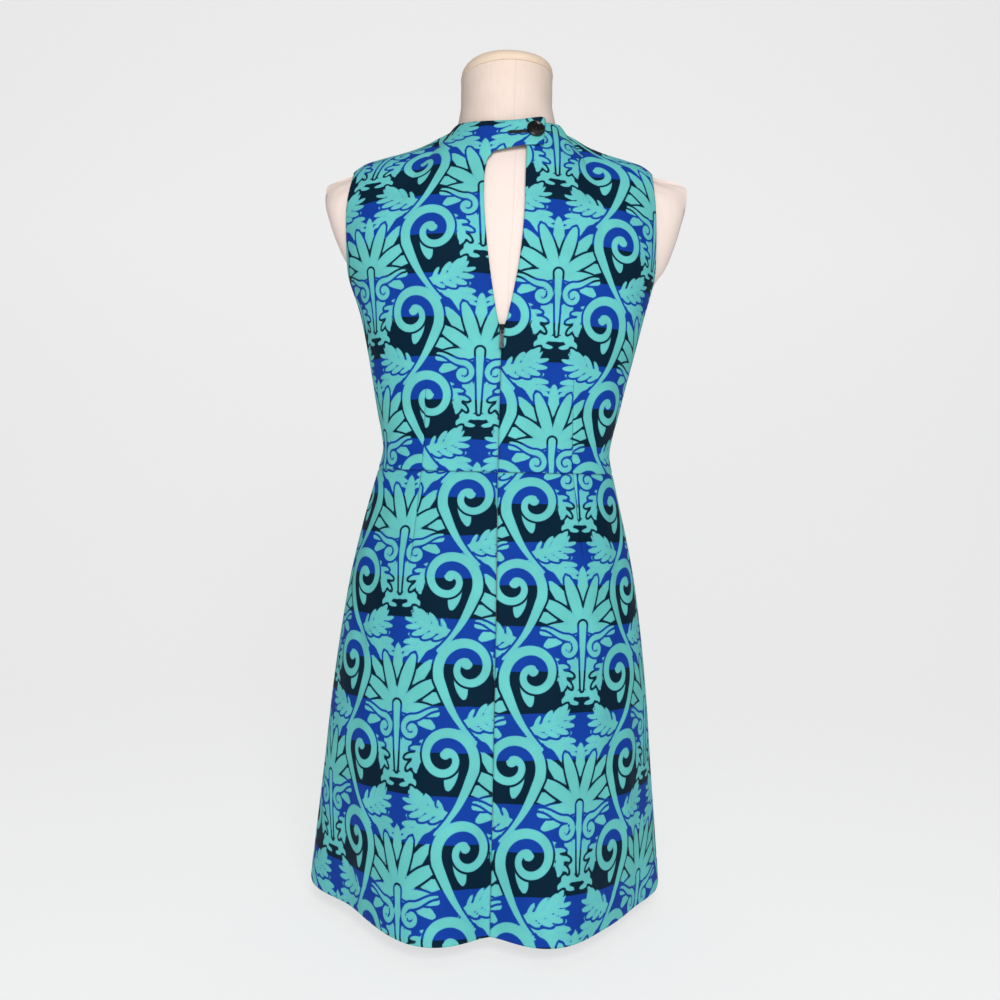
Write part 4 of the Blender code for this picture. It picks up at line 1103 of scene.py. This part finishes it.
def skirt_panel(panel, turns, spacing, materials):
    """A skirt panel from the waist seam down to the hem. Along is counted down from the waist."""
    facing = FRONT if panel.startswith("front") else BACK
    heights = np.linspace(WAIST_HEIGHT - SEAM_GAP / 2, HEM_HEIGHT, int(SKIRT_LENGTH / spacing) + 1)[::-1]
    turns, heights = np.broadcast_arrays(turns, heights[:, None])
    points = skirt_point(turns, heights, facing)
    inner = np.clip(turns, -LAST_TURN, LAST_TURN)
    normals = outward(skirt_point, inner, np.clip(heights, HEM_HEIGHT + 0.0002, WAIST_HEIGHT - SEAM_GAP), facing)
    arcs = sides_of(points)
    middle = int(np.argmin(np.abs(turns[0])))
    u = arcs["first"] - arcs["first"][:, middle:middle + 1]
    push = edge_roll(arcs, first=SKIRT_SEAM_ROLL, last=SKIRT_SEAM_ROLL, high=WAIST_ROLL, low=HEM_ROLL)
    push = push - mound(arcs["low"] - HEM_FOLD, *HEM_STITCH) + HEM_FULLNESS * (arcs["low"] < HEM_FOLD)
    cloth_panel(panel, [(points, normals, u, arcs["high"], push)], materials)


# ---------------------------------------------------------------- the form and its stand

# Where the form's outward direction is levelled: at its sides and on the ridge of the shoulders.
FORM_INNER_TURN = 0.9999
FORM_SIDE = 0.999
FORM_RIDGE = 1.999
SHOULDER_EASE_FROM, SHOULDER_EASE_OVER = 1.2, 0.3
# How many places the form has across half its neck and from there to its side, and how many rings
# on its hips, body, chest, lower neck and upper neck.
NECK_PLACES, SIDE_PLACES = 15, 20
HIP_RINGS, BODY_RINGS, CHEST_RINGS, LOW_NECK_RINGS, HIGH_NECK_RINGS = 46, 32, 56, 13, 12
# The cap's places round it, its first steps up from the cut, how its dome closes, its smallest ring.
CAP_PLACES = 96
CAP_FOOT_STEPS = (0.0, 0.006, 0.02, 0.05)
CAP_DOME_STEPS = (0.09, 1, 26)
CAP_DOME_POWER = 1.6
CAP_SMALLEST = 0.012
COLLAR_ROUNDING = 0.002
PLATE_ROUNDING = 0.003
FOOT_ROUNDING = 0.001
TUBE_BEVEL = 0.0004


def form_point(turn, rise, facing):
    """A place on the form under the bodice, drawn out into the shoulder stump in the armhole."""
    rise = np.full_like(turn, rise)
    safe = np.clip(rise, 0, LAST_RISE)
    inner = np.clip(turn, -FORM_INNER_TURN, FORM_INNER_TURN)
    normal = outward(level_bodice_point, inner, safe, facing)
    on_ridge = (rise > FORM_RIDGE) & (np.abs(turn) > NECK_TURN - 1e-6)
    shared = outward(level_bodice_point, inner, safe, BACK)
    normal = np.where(on_ridge[..., None], shared, normal)
    level = ((np.abs(turn) > FORM_SIDE) | on_ridge)[..., None]
    normal = np.where(level, normal * np.array([1.0, 0.0, 1.0]), normal)
    ease = EASE_BODICE + SHOULDER_EASE * np.clip((rise - SHOULDER_EASE_FROM) / SHOULDER_EASE_OVER, 0, 1) + CLOTH
    place = level_bodice_point(turn, rise, facing) - unit(normal) * ease[..., None]
    edge = np.minimum(armhole_turn(rise) + STUMP_CLEARANCE, STUMP_EDGE)
    part = np.where(rise > 1.0, share(np.abs(turn), edge, STUMP_FULL) ** STUMP_SWELL, 0.0)
    reach = column(STUMP, "reach", place[..., 2]) + np.sign(turn) * STUMP_SHIFT
    grown = np.maximum(reach, np.abs(place[..., 0]))
    place[..., 0] += np.sign(turn) * part * (grown - np.abs(place[..., 0]))
    place[..., 2] -= STUMP_DROP * part * np.clip(1 - (2 - rise) / STUMP_DROP_RISE, 0, 1)
    return stance(place)


def form_low_point(turn, height, facing):
    """A place on the form's hips, inside the skirt."""
    level = np.full_like(turn, height)
    normal = outward(girth_point, np.clip(turn, -FORM_INNER_TURN, FORM_INNER_TURN), level, facing)
    normal[..., 2] = 0
    normal[..., 1] = np.where(np.abs(turn) > FORM_SIDE, 0, normal[..., 1])
    place = girth_point(turn, level, facing) - unit(normal) * (column(FORM_EASE, "ease", height) + CLOTH)
    place[..., 2] = height
    return stance(place)


def neck_ring(angles, height, scale=1.0, lean=0.0):
    """A ring round the neck, which leans as far as the cap does where lean is 1."""
    x = FORM_NECK_BREADTH * scale * np.sin(angles)
    y = -FORM_NECK_DEPTH * scale * np.cos(angles)
    return stance(np.stack([x, y, height - CAP_TILT * lean * y + CAP_SLANT * lean * x], axis=-1))


def form_ring(point, level, half):
    """A closed ring of places, along the back from left to right and then back along the front."""
    whole = np.concatenate([-half[:0:-1], half])
    return np.concatenate([point(whole, level, BACK), point(whole[::-1], level, FRONT)[1:-1]])


def neck_angles(half):
    """The angle round the neck of each ring place, from the centre back through the right side."""
    whole = np.concatenate([-half[:0:-1], half])
    turns = np.concatenate([whole, whole[::-1][1:-1]])
    angle = turns / NECK_TURN * math.pi / 2
    front = np.arange(len(turns)) >= len(whole)
    return turns, np.where(front, np.where(turns >= 0, math.pi - angle, -math.pi - angle), angle)


def loft(rings):
    """Faces between closed rings of point numbers, all of one length."""
    low, high = np.array(rings[:-1]), np.array(rings[1:])
    return np.stack([low, np.roll(low, -1, 1), np.roll(high, -1, 1), high], -1).reshape(-1, 4).tolist()


def linen_piece(data, aside, material, slot, node):
    """Finishes a linen-covered piece, given how far each point lies from the centre seam."""
    carry(data, "seam_line", aside)
    data.shade_smooth()
    data.set_sharp_from_angle(angle=LINEN_EDGE)
    keep(linked(data.name, data, material), slot, node)


def form_torso(material):
    """The linen-covered torso with its stumps and neck, as one finer loft."""
    half = np.concatenate([np.linspace(0, NECK_TURN, NECK_PLACES), np.linspace(NECK_TURN, 1, SIDE_PLACES)[1:]])
    heights = np.linspace(FORM_FOOT, WAIST_HEIGHT, HIP_RINGS)[:-1]
    rises = np.concatenate([np.linspace(0, 1, BODY_RINGS)[:-1], np.linspace(1, 2, CHEST_RINGS)])
    rings = [form_ring(form_low_point, height, half) for height in heights]
    rings += [form_ring(form_point, rise, half) for rise in rises]
    numbers = np.arange(len(rings) * len(rings[0])).reshape(len(rings), -1)
    faces = loft(numbers) + [numbers[0][::-1].tolist()]
    turns, angles = neck_angles(half)
    neck = sorted((k for k in range(len(turns)) if abs(turns[k]) < NECK_TURN + 1e-6), key=lambda k: angles[k])
    base = rings[-1][neck]
    round_neck = neck_ring(angles[neck], NECK_COLUMN_HEIGHT)
    neck_top = neck_ring(angles[neck], NECK_CUT_HEIGHT - SEAM_GAP, lean=1)
    for climb in np.linspace(0, 1, LOW_NECK_RINGS)[1:]:
        closing = min(1, NECK_CLOSING * climb)
        rings.append(base + (round_neck - base) * np.array([closing, closing, climb]))
    climbs = np.linspace(0, 1, HIGH_NECK_RINGS)[1:]
    rings += [round_neck + (neck_top - round_neck) * climb for climb in climbs]
    above = len(rings) - len(numbers)
    neck_numbers = numbers.size + np.arange(above * len(neck)).reshape(above, -1)
    faces += loft([numbers[-1][neck], *neck_numbers]) + [neck_numbers[-1].tolist()]
    mesh = bmesh.new()
    points = [mesh.verts.new(place) for place in np.concatenate(rings)]
    for face in faces:
        mesh.faces.new([points[k] for k in face])
    bmesh.ops.remove_doubles(mesh, verts=mesh.verts, dist=1e-5)
    bmesh.ops.recalc_face_normals(mesh, faces=mesh.faces)
    data = bpy.data.meshes.new("form_torso_linen")
    mesh.to_mesh(data)
    mesh.free()
    places = np.empty(len(data.vertices) * 3)
    data.vertices.foreach_get("co", places)
    x, y, z = places.reshape(-1, 3).T
    aside = np.where(y < 0, (x - column(SEAM_COURSE, "aside", z)) * 1000, NO_SEAM)
    linen_piece(data, aside, material, "form_linen", "form_torso")


def form_cap(material):
    """The domed linen cap, with its turned-in lower edge."""
    angles = np.linspace(0, 2 * math.pi, CAP_PLACES + 1)[:-1]
    rise = CAP_TOP_HEIGHT - NECK_CUT_HEIGHT
    steps = np.concatenate([CAP_FOOT_STEPS, np.linspace(*CAP_DOME_STEPS)])
    shoulder, scale = (values[-1] for values in CAP_PROFILE.values())
    closing = np.sqrt(1 - share(steps, shoulder, 1) ** CAP_DOME_POWER) * scale
    dome = np.where(steps > shoulder, closing, column(CAP_PROFILE, "scale", steps))
    rings = [neck_ring(angles, NECK_CUT_HEIGHT + rise * part, max(size, CAP_SMALLEST), 1 - part)
             for part, size in zip(steps, dome)]
    numbers = np.arange(len(rings) * len(angles)).reshape(len(rings), -1)
    faces = loft(numbers) + [numbers[0][::-1].tolist(), numbers[-1].tolist()]
    data = mesh_of("form_cap_linen", np.concatenate(rings).tolist(), faces)
    linen_piece(data, np.full(numbers.size, NO_SEAM), material, "cap_linen", "form_neck_cap")


def turned_piece(name, profile, steps, material):
    """A turned piece from a profile of radius and height."""
    edges = [(k, k + 1) for k in range(len(profile) - 1)]
    thing = linked(name, mesh_of(name, [(x, 0, z) for x, z in profile], edges=edges), material)
    screw = thing.modifiers.new("Turned", "SCREW")
    screw.steps = screw.render_steps = steps
    screw.use_merge_vertices = True
    screw.merge_threshold = 1e-6
    screw.use_smooth_shade = True
    return thing


def rounded_edge(centre_r, centre_z, radius, start, end, steps=6):
    """Profile places round a turned edge."""
    angles = np.radians(np.linspace(start, end, steps))
    return [(centre_r + radius * math.cos(a), centre_z + radius * math.sin(a)) for a in angles]


def stand(steel, enamel):
    """The weighted plate with its collar, and the tube that carries the torso."""
    r, h = BASE_RADIUS, BASE_THICKNESS
    profile = [(0, COLLAR_HEIGHT), (COLLAR_RADIUS - 2 * COLLAR_ROUNDING, COLLAR_HEIGHT)]
    profile += rounded_edge(COLLAR_RADIUS - COLLAR_ROUNDING, COLLAR_HEIGHT - COLLAR_ROUNDING, COLLAR_ROUNDING, 90, 0)
    profile += [(COLLAR_RADIUS, h + 0.0006), (COLLAR_RADIUS + 0.0006, h)]
    profile += rounded_edge(r - PLATE_ROUNDING, h - PLATE_ROUNDING, PLATE_ROUNDING, 90, 0, 9)
    profile += rounded_edge(r - FOOT_ROUNDING, FOOT_ROUNDING, FOOT_ROUNDING, 0, -90, 5)
    keep(turned_piece("enamelled_plate", profile + [(0, 0)], 128, enamel), "base_enamel", "stand_base")
    r, bevel = POLE_RADIUS, TUBE_BEVEL
    low, high = COLLAR_HEIGHT + SEAM_GAP, FORM_FOOT - SEAM_GAP
    profile = [(0, high), (r - bevel, high), (r, high - bevel), (r, low + bevel), (r - bevel, low), (0, low)]
    keep(turned_piece("steel_tube", profile, 64, steel), "stand_metal", "stand_pole")


# ---------------------------------------------------------------- button, buttonhole and zip

THREAD_RADIUS = 0.00022
THREAD_GAP = 0.00018
THREAD_ARCH = 0.00028
THREAD_OVER_THREAD = 0.00012
BUTTON_DISH = 0.0010
# The buttonhole's stitches: their number on a side, radius, length, unevenness, and the height above
# the cloth at which each starts, arches and ends. The power says how square the slit's ends are.
STITCHES = 27
STITCH_RADIUS = 0.00046
STITCH_LENGTH = 0.0009
STITCH_UNEVEN = 0.00012
STITCH_LIFTS = (0.00030, 0.00056, 0.00024)
SLIT_POWER = 10
# The thickness of the near-black sheet painted as the slit's shadow.
SLIT_THICKNESS = 0.00012


def button_placing():
    """Where the button lies on the tab: its Z axis points out of the cloth and its X axis is level."""
    turn = float(turn_at_breadth(BUTTON_PLACE, BUTTON_RISE))
    before, place, after = tab_row(BUTTON_RISE, np.array([turn - 0.02, turn, turn + 0.02]))
    below, above = (tab_row(BUTTON_RISE + step, np.array([turn]))[0] for step in (-0.06, 0.06))
    normal = unit(np.cross(after - before, above - below))
    z = Vector(normal).normalized()
    x = Vector((0, 0, 1)).cross(z).normalized()
    turned = Matrix((x, z.cross(x), z)).transposed().to_4x4()
    return Matrix.Translation(Vector(place + normal * BUTTON_STAND_OFF)) @ turned


def smooth_tube(name, routes, radius, material):
    """Fine tubes along routes, as one curve object with closed ends."""
    curve = bpy.data.curves.new(name, "CURVE")
    curve.dimensions = "3D"
    curve.bevel_depth = radius
    curve.bevel_resolution = 2
    curve.use_fill_caps = True
    for route in routes:
        spline = curve.splines.new("POLY")
        spline.points.add(len(route) - 1)
        for point, place in zip(spline.points, route):
            point.co = (*place, 1)
    keep(linked(name, curve, material), "button_black")


def sewn_button(gloss, thread):
    """A glossy four-hole button and the crossed thread that holds it."""
    r, h = BUTTON_RADIUS, BUTTON_THICKNESS
    floor = h - BUTTON_DISH
    profile = [(0, floor), (r - 1.60 * BUTTON_RIM, floor), (r - 1.30 * BUTTON_RIM, floor + 0.0002),
               (r - 1.02 * BUTTON_RIM, h - 0.0003), (r - 0.80 * BUTTON_RIM, h), (r - 0.0009, h),
               (r - 0.0004, h - 0.0002), (r - 0.0001, h - 0.0006), (r, h - 0.0012), (r - 0.0002, 0.0008),
               (r - 0.0006, 0.0003), (r - 0.0012, 0), (0, 0)]
    button = turned_piece("sewn_button", profile, 96, gloss)
    holes = [tuple(BUTTON_HOLE_SPREAD / 2 * toward(45 + 90 * k)) for k in range(4)]
    drills = []
    for hole in holes:
        bpy.ops.mesh.primitive_cylinder_add(vertices=24, radius=BUTTON_HOLE_RADIUS, depth=0.012, location=(*hole, 0))
        drills.append(bpy.context.object)
        cut = button.modifiers.new("Hole", "BOOLEAN")
        cut.operation = "DIFFERENCE"
        cut.solver = "EXACT"
        cut.object = drills[-1]
    bpy.context.view_layer.update()
    solid = bpy.data.meshes.new_from_object(button.evaluated_get(bpy.context.evaluated_depsgraph_get()))
    for drill in drills:
        bpy.data.objects.remove(drill)
    button.modifiers.clear()
    button.data = solid
    solid.materials.clear()
    solid.materials.append(gloss)
    solid.shade_smooth()
    solid.set_sharp_from_angle(angle=HARD_EDGE)
    button.matrix_world = placing = button_placing()
    keep(button, "button_black", "neck_button")
    routes = []
    for start, end, over in ((holes[0], holes[2], 0), (holes[1], holes[3], THREAD_OVER_THREAD)):
        across = Vector((start[1] - end[1], end[0] - start[0], 0)).normalized()
        for aside in (-THREAD_GAP, THREAD_GAP):
            route = []
            for part in np.linspace(0, 1, 13):
                lift = floor + THREAD_ARCH * math.sin(math.pi * part) + over if 0 < part < 1 else 0.0006
                x, y = (a + (b - a) * part for a, b in zip(start, end))
                route.append(placing @ (Vector((x, y, lift)) + across * aside))
            routes.append(route)
    for x, y in holes:
        ends = ((x * 0.6, y * 0.6, -BUTTON_STAND_OFF), (x * 0.8, y * 0.8, 0.0004))
        routes.append([placing @ Vector(place) for place in ends])
    smooth_tube("button_thread", routes, THREAD_RADIUS, thread)


def worked_buttonhole(thread, dark):
    """A horizontal buttonhole in the tab: the parted cloth edged with close black stitches."""
    middle = (BUTTONHOLE.start + BUTTONHOLE.end) / 2
    half = (BUTTONHOLE.end - BUTTONHOLE.start) / 2
    asides = np.linspace(0.0004, TAB_END - 0.002, 40)
    rises = (BUTTONHOLE.rise, BUTTONHOLE.rise + 0.02)
    row, above_row = (tab_row(rise, turn_at_breadth(asides, rise)) for rise in rises)
    ups = unit(above_row - row)
    normals = unit(np.cross(np.gradient(row, axis=0), ups))

    def on_tab(aside, above, lift):
        here, up, normal = (np.array([np.interp(middle + aside, asides, part[:, k]) for k in range(3)])
                            for part in (row, ups, normals))
        return Vector(here + up * above + normal * lift)

    start, arch, end = STITCH_LIFTS
    across = np.linspace(-1, 1, STITCHES)
    stitches = []
    for side in (1, -1):
        for k, part in enumerate(across):
            ending = 1 - part**SLIT_POWER
            x, y = part * half, side * BUTTONHOLE.half_height * ending
            outer_x = x + STITCH_LENGTH * part ** (SLIT_POWER - 1)
            outer_y = y + side * (STITCH_LENGTH + STITCH_UNEVEN * math.sin(k * 5.1)) * ending
            stitches.append([on_tab(x * 0.985, y * 0.6, start),
                             on_tab((x + outer_x) / 2, (y + outer_y) / 2, arch),
                             on_tab(outer_x, outer_y, end)])
    smooth_tube("buttonhole_stitches", stitches, STITCH_RADIUS, thread)
    # Painted shadow: a thin near-black sheet along the slit stands for the shade inside the parted cloth.
    rim = [on_tab(half * part, side * BUTTONHOLE.half_height * (1 - part**SLIT_POWER), start)
           for part in across for side in (-1, 1)]
    faces = [(2 * k, 2 * k + 2, 2 * k + 3, 2 * k + 1) for k in range(len(across) - 1)]
    slit = linked("buttonhole_slit_shadow", mesh_of("buttonhole_slit_shadow", rim, faces), dark)
    slit.modifiers.new("Thickness", "SOLIDIFY").thickness = SLIT_THICKNESS
    keep(slit, "button_black")


ZIP_ROUNDING = 0.00012


def finish_zip(**materials):
    """The slider and its pull tab keep their solids, with rounded edges and polished metal."""
    for name, material in materials.items():
        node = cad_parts[name]
        node.data.materials.clear()
        node.data.materials.append(material)
        rounded = node.modifiers.new("Rounded", "BEVEL")
        rounded.width = ZIP_ROUNDING
        rounded.segments = 2
        rounded.limit_method = "ANGLE"
        rounded.angle_limit = HARD_EDGE


# ---------------------------------------------------------------- settings


class ClothSettings(bpy.types.PropertyGroup):
    """How finely the cloth is built and how its print is coloured."""

    spacing: bpy.props.FloatProperty(
        name="Spacing", description="Distance between the bodice cloth's points", default=0.0018, unit="LENGTH")
    skirt_spacing: bpy.props.FloatProperty(
        name="Skirt spacing", description="Distance between the skirt's points", default=0.0021, unit="LENGTH")
    thread: bpy.props.FloatProperty(name="Thread", description="Pitch of the weave", default=0.0009, unit="LENGTH")
    teal: bpy.props.FloatVectorProperty(
        name="Teal", description="Colour of the scrolls and leaves", default=(0.140, 0.580, 0.545), subtype="COLOR")
    teal_edge: bpy.props.FloatVectorProperty(
        name="Teal edge", description="Colour at the leaves' edges", default=(0.105, 0.470, 0.660), subtype="COLOR")
    royal: bpy.props.FloatVectorProperty(
        name="Royal blue", description="Colour of the blue bands", default=(0.005, 0.048, 0.345), subtype="COLOR")
    navy: bpy.props.FloatVectorProperty(
        name="Navy", description="Colour of the dark bands", default=(0.0005, 0.0150, 0.0340), subtype="COLOR")
    wrong_side: bpy.props.FloatVectorProperty(
        name="Wrong side", description="Colour that shows on the inside", default=(0.30, 0.42, 0.50), subtype="COLOR")


class FormSettings(bpy.types.PropertyGroup):
    """Colours of the form's linen."""

    linen: bpy.props.FloatVectorProperty(
        name="Linen", description="Lighter colour of the torso's linen", default=(0.85, 0.70, 0.625), subtype="COLOR")
    linen_dark: bpy.props.FloatVectorProperty(
        name="Linen shade", description="Darker threads of the linen", default=(0.78, 0.63, 0.55), subtype="COLOR")
    linen_pale: bpy.props.FloatVectorProperty(
        name="Linen, faded", description="Paler linen below the neck", default=(0.97, 0.84, 0.79), subtype="COLOR")
    cap: bpy.props.FloatVectorProperty(
        name="Cap", description="Lighter colour of the cap's linen", default=(0.88, 0.71, 0.56), subtype="COLOR")
    cap_dark: bpy.props.FloatVectorProperty(
        name="Cap shade", description="Darker threads of the cap", default=(0.80, 0.63, 0.48), subtype="COLOR")


class TrimSettings(bpy.types.PropertyGroup):
    """Colours of the button, the thread and the zip."""

    button: bpy.props.FloatVectorProperty(
        name="Button", description="Colour of the button", default=(0.004, 0.004, 0.005), subtype="COLOR")
    thread: bpy.props.FloatVectorProperty(
        name="Thread", description="Colour of the sewing thread", default=(0.003, 0.003, 0.004), subtype="COLOR")
    zip: bpy.props.FloatVectorProperty(
        name="Zip", description="Colour of the slider and its tab", default=(0.012, 0.012, 0.014), subtype="COLOR")
    tab: bpy.props.FloatVectorProperty(
        name="Tab", description="Colour of the zip's polished pull tab", default=(0.17, 0.18, 0.19), subtype="COLOR")


class StudioSettings(bpy.types.PropertyGroup):
    """The floor, the light and the camera."""

    floor: bpy.props.FloatVectorProperty(
        name="Floor", description="Colour of the floor and backdrop", default=(0.82, 0.82, 0.82), subtype="COLOR")
    key: bpy.props.FloatProperty(name="Key light", description="Power of the key light", default=49.0, unit="POWER")
    fill: bpy.props.FloatProperty(
        name="Fill light", description="Power of the fill light", default=12.0, unit="POWER")
    top: bpy.props.FloatProperty(name="Top light", description="Power of the top light", default=3.0, unit="POWER")
    distance: bpy.props.FloatProperty(
        name="Distance", description="Distance of the camera from the dress", default=1.4, unit="LENGTH")
    height: bpy.props.FloatProperty(name="Height", description="Height of the camera", default=0.492, unit="LENGTH")
    azimuth: bpy.props.FloatProperty(
        name="Azimuth", description="How far left the camera stands", default=math.radians(-2), subtype="ANGLE")
    roll: bpy.props.FloatProperty(
        name="Roll", description="How far the camera leans", default=math.radians(1.4), subtype="ANGLE")
    lens: bpy.props.FloatProperty(name="Lens", description="Focal length on a 36 mm wide sensor", default=44.604)


def cloth_materials(context):
    """The cloth's right and wrong side. The first call also draws the print."""
    look = context.scene.dress_cloth
    if not TILE:
        TILE.extend(print_tile())
    names = ("scroll_print_right_side", "scroll_print_wrong_side")
    return [bpy.data.materials.get(name) or printed_cloth_material(look, name) for name in names]


# ---------------------------------------------------------------- operators


class DRESS_OT_form(bpy.types.Operator):
    """Builds the linen torso and the neck cap"""

    bl_idname = "dress.form"
    bl_label = "Form and cap"

    def execute(self, context):
        settings = context.scene.dress_form
        form_torso(linen_material(settings, "torso_linen", settings.linen, settings.linen_dark))
        form_cap(linen_material(settings, "cap_linen_cloth", settings.cap, settings.cap_dark))
        return {"FINISHED"}


class DRESS_OT_stand(bpy.types.Operator):
    """Builds the plate and tube under the form"""

    bl_idname = "dress.stand"
    bl_label = "Stand"

    def execute(self, context):
        stand(brushed_steel_material(), enamel_material())
        return {"FINISHED"}


class DRESS_OT_bodice(bpy.types.Operator):
    """Builds the two back bodice panels with the neck tab, and the front bodice"""

    bl_idname = "dress.bodice"
    bl_label = "Bodice"

    def execute(self, context):
        spacing = context.scene.dress_cloth.spacing
        materials = cloth_materials(context)
        back_bodice(-1, spacing, materials)
        back_bodice(1, spacing, materials)
        front_bodice(spacing * FRONT_BODICE_COARSER, materials)
        return {"FINISHED"}


class DRESS_OT_skirt(bpy.types.Operator):
    """Builds the two back skirt panels and the front skirt"""

    bl_idname = "dress.skirt"
    bl_label = "Skirt"

    def execute(self, context):
        spacing = context.scene.dress_cloth.skirt_spacing
        materials = cloth_materials(context)
        gap = SEAM_GAP / 2 / SKIRT_TURN_LENGTH
        half = np.linspace(gap, 1 - gap, int(BACK_SKIRT_BREADTH / spacing) + 1)
        skirt_panel("back_skirt_left", -half[::-1], spacing, materials)
        skirt_panel("back_skirt_right", half, spacing, materials)
        coarse = spacing * FRONT_SKIRT_COARSER
        whole = np.linspace(-1 + gap, 1 - gap, 2 * (int(FRONT_SKIRT_BREADTH / coarse) + 1) + 1)
        skirt_panel("front_skirt", whole, coarse, materials)
        return {"FINISHED"}


class DRESS_OT_trims(bpy.types.Operator):
    """Sews on the button, works its buttonhole and finishes the zip"""

    bl_idname = "dress.trims"
    bl_label = "Button and zip"

    def execute(self, context):
        settings = context.scene.dress_trims
        thread = thread_material("black_thread", settings.thread)
        sewn_button(gloss_black_material("black_button", settings.button, 0.16, 0.0), thread)
        worked_buttonhole(thread, thread_material("buttonhole_shadow", [c * 0.5 for c in settings.thread]))
        finish_zip(zip_slider=gloss_black_material("black_zip", settings.zip, 0.24, 0.6),
                   zip_pull_tab=gloss_black_material("polished_tab", settings.tab, 0.14, 1.0))
        return {"FINISHED"}


class DRESS_OT_studio(bpy.types.Operator):
    """Sets out the floor, backdrop, lights and camera"""

    bl_idname = "dress.studio"
    bl_label = "Studio"

    def execute(self, context):
        scene, settings = context.scene, context.scene.dress_studio
        seamless_paper(settings)
        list(studio_lights(scene, settings))
        studio_camera(scene, settings)
        scene.view_settings.view_transform = "Standard"
        scene.view_settings.look = "None"
        return {"FINISHED"}


def seamless_paper(settings):
    """A pale floor that curves up into the backdrop."""
    steps, radius, back, half_width, sunk = 16, 1.2, 2.6, 2.2, 0.0002
    profile = [(-4.0, 0.0), (back - radius, 0.0)]
    for angle in (math.pi / 2 * k / steps for k in range(1, steps + 1)):
        profile.append((back - radius + radius * math.sin(angle), radius - radius * math.cos(angle)))
    profile.append((back, 3.4))
    places = [(x, y, z - sunk) for y, z in profile for x in (-half_width, half_width)]
    faces = [(2 * k, 2 * k + 1, 2 * k + 3, 2 * k + 2) for k in range(len(profile) - 1)]
    data = mesh_of("seamless_paper", places, faces)
    data.shade_smooth()
    nodes = Nodes("pale_paper")
    grain = nodes.noise(nodes.position(), 90.0)
    nodes.put(nodes.shader.inputs, {
        "Base Color": nodes.mix(grain, shade(settings.floor, 0.43), shade(settings.floor, 0.41)),
        "Roughness": 0.95,
        "Specular IOR Level": 0.0,
        "Emission Color": shade(settings.floor),
        "Emission Strength": 0.80,
    })
    return linked("seamless_paper", data, nodes.material)


def studio_lights(scene, settings):
    """Three soft lights that face the dress, and the dim air round it."""
    world = bpy.data.worlds.new("studio_air")
    world.use_nodes = True
    air = world.node_tree.nodes["Background"].inputs
    air["Color"].default_value = (0.86, 0.88, 0.90, 1)
    air["Strength"].default_value = 0.16
    scene.world = world
    for name, place, power, size in (
        ("key_light", (0.2, -2.6, 1.7), settings.key, 1.0),
        ("fill_light", (-0.6, -2.6, 1.0), settings.fill, 1.2),
        ("top_light", (0.0, 0.2, 2.6), settings.top, 1.6),
    ):
        lamp = bpy.data.lights.new(name, "AREA")
        lamp.energy = power
        lamp.size = size
        light = bpy.data.objects.new(name, lamp)
        scene.collection.objects.link(light)
        light.location = place
        light.rotation_euler = (Vector((0, 0, 0.5)) - Vector(place)).to_track_quat("-Z", "Y").to_euler()
        yield light


# How far the lens is shifted, in widths of the picture, and what it sees from and to.
LENS_SHIFT = (0.0047, -0.0400)
SIGHT = (0.05, 40.0)


def studio_camera(scene, settings):
    """The camera behind the dress, turned, leaning and shifted as the photo was taken."""
    data = bpy.data.cameras.new("camera")
    camera = bpy.data.objects.new("camera", data)
    scene.collection.objects.link(camera)
    data.sensor_width = 36.0
    data.lens = settings.lens
    data.shift_x, data.shift_y = LENS_SHIFT
    data.clip_start, data.clip_end = SIGHT
    turn, roll = settings.azimuth, settings.roll
    right = Vector((math.cos(turn), math.sin(turn), 0))
    forward = Vector((-math.sin(turn), math.cos(turn), 0))
    up = Vector((0, 0, 1))
    across = right * math.cos(roll) + up * math.sin(roll)
    upward = up * math.cos(roll) - right * math.sin(roll)
    placing = Matrix((across, upward, -forward)).transposed().to_4x4()
    placing.translation = -forward * settings.distance + up * settings.height
    camera.matrix_world = placing
    scene.camera = camera


class DRESS_PT_panel(bpy.types.Panel):
    """Lists the builders and their settings"""

    bl_idname = "DRESS_PT_panel"
    bl_label = "A-line dress"
    bl_space_type = "VIEW_3D"
    bl_region_type = "UI"
    bl_category = "Dress"

    def draw(self, context):
        layout = self.layout
        for operator in OPERATORS:
            layout.operator(operator.bl_idname)
        for group, kind in GROUPS.items():
            box = layout.box()
            for name in kind.__annotations__:
                box.prop(getattr(context.scene, group), name)


OPERATORS = (DRESS_OT_form, DRESS_OT_stand, DRESS_OT_bodice, DRESS_OT_skirt, DRESS_OT_trims, DRESS_OT_studio)
GROUPS = {"dress_cloth": ClothSettings, "dress_form": FormSettings, "dress_trims": TrimSettings,
          "dress_studio": StudioSettings}
CLASSES = (*GROUPS.values(), *OPERATORS, DRESS_PT_panel)


def register():
    for kind in CLASSES:
        bpy.utils.register_class(kind)
    for name, group in GROUPS.items():
        setattr(bpy.types.Scene, name, bpy.props.PointerProperty(type=group))


def unregister():
    for name in GROUPS:
        delattr(bpy.types.Scene, name)
    for kind in reversed(CLASSES):
        bpy.utils.unregister_class(kind)


def main():
    register()
    bpy.ops.dress.form()
    bpy.ops.dress.stand()
    bpy.ops.dress.bodice()
    bpy.ops.dress.skirt()
    bpy.ops.dress.trims()
    bpy.ops.dress.studio()


if __name__ == "__main__":
    main()
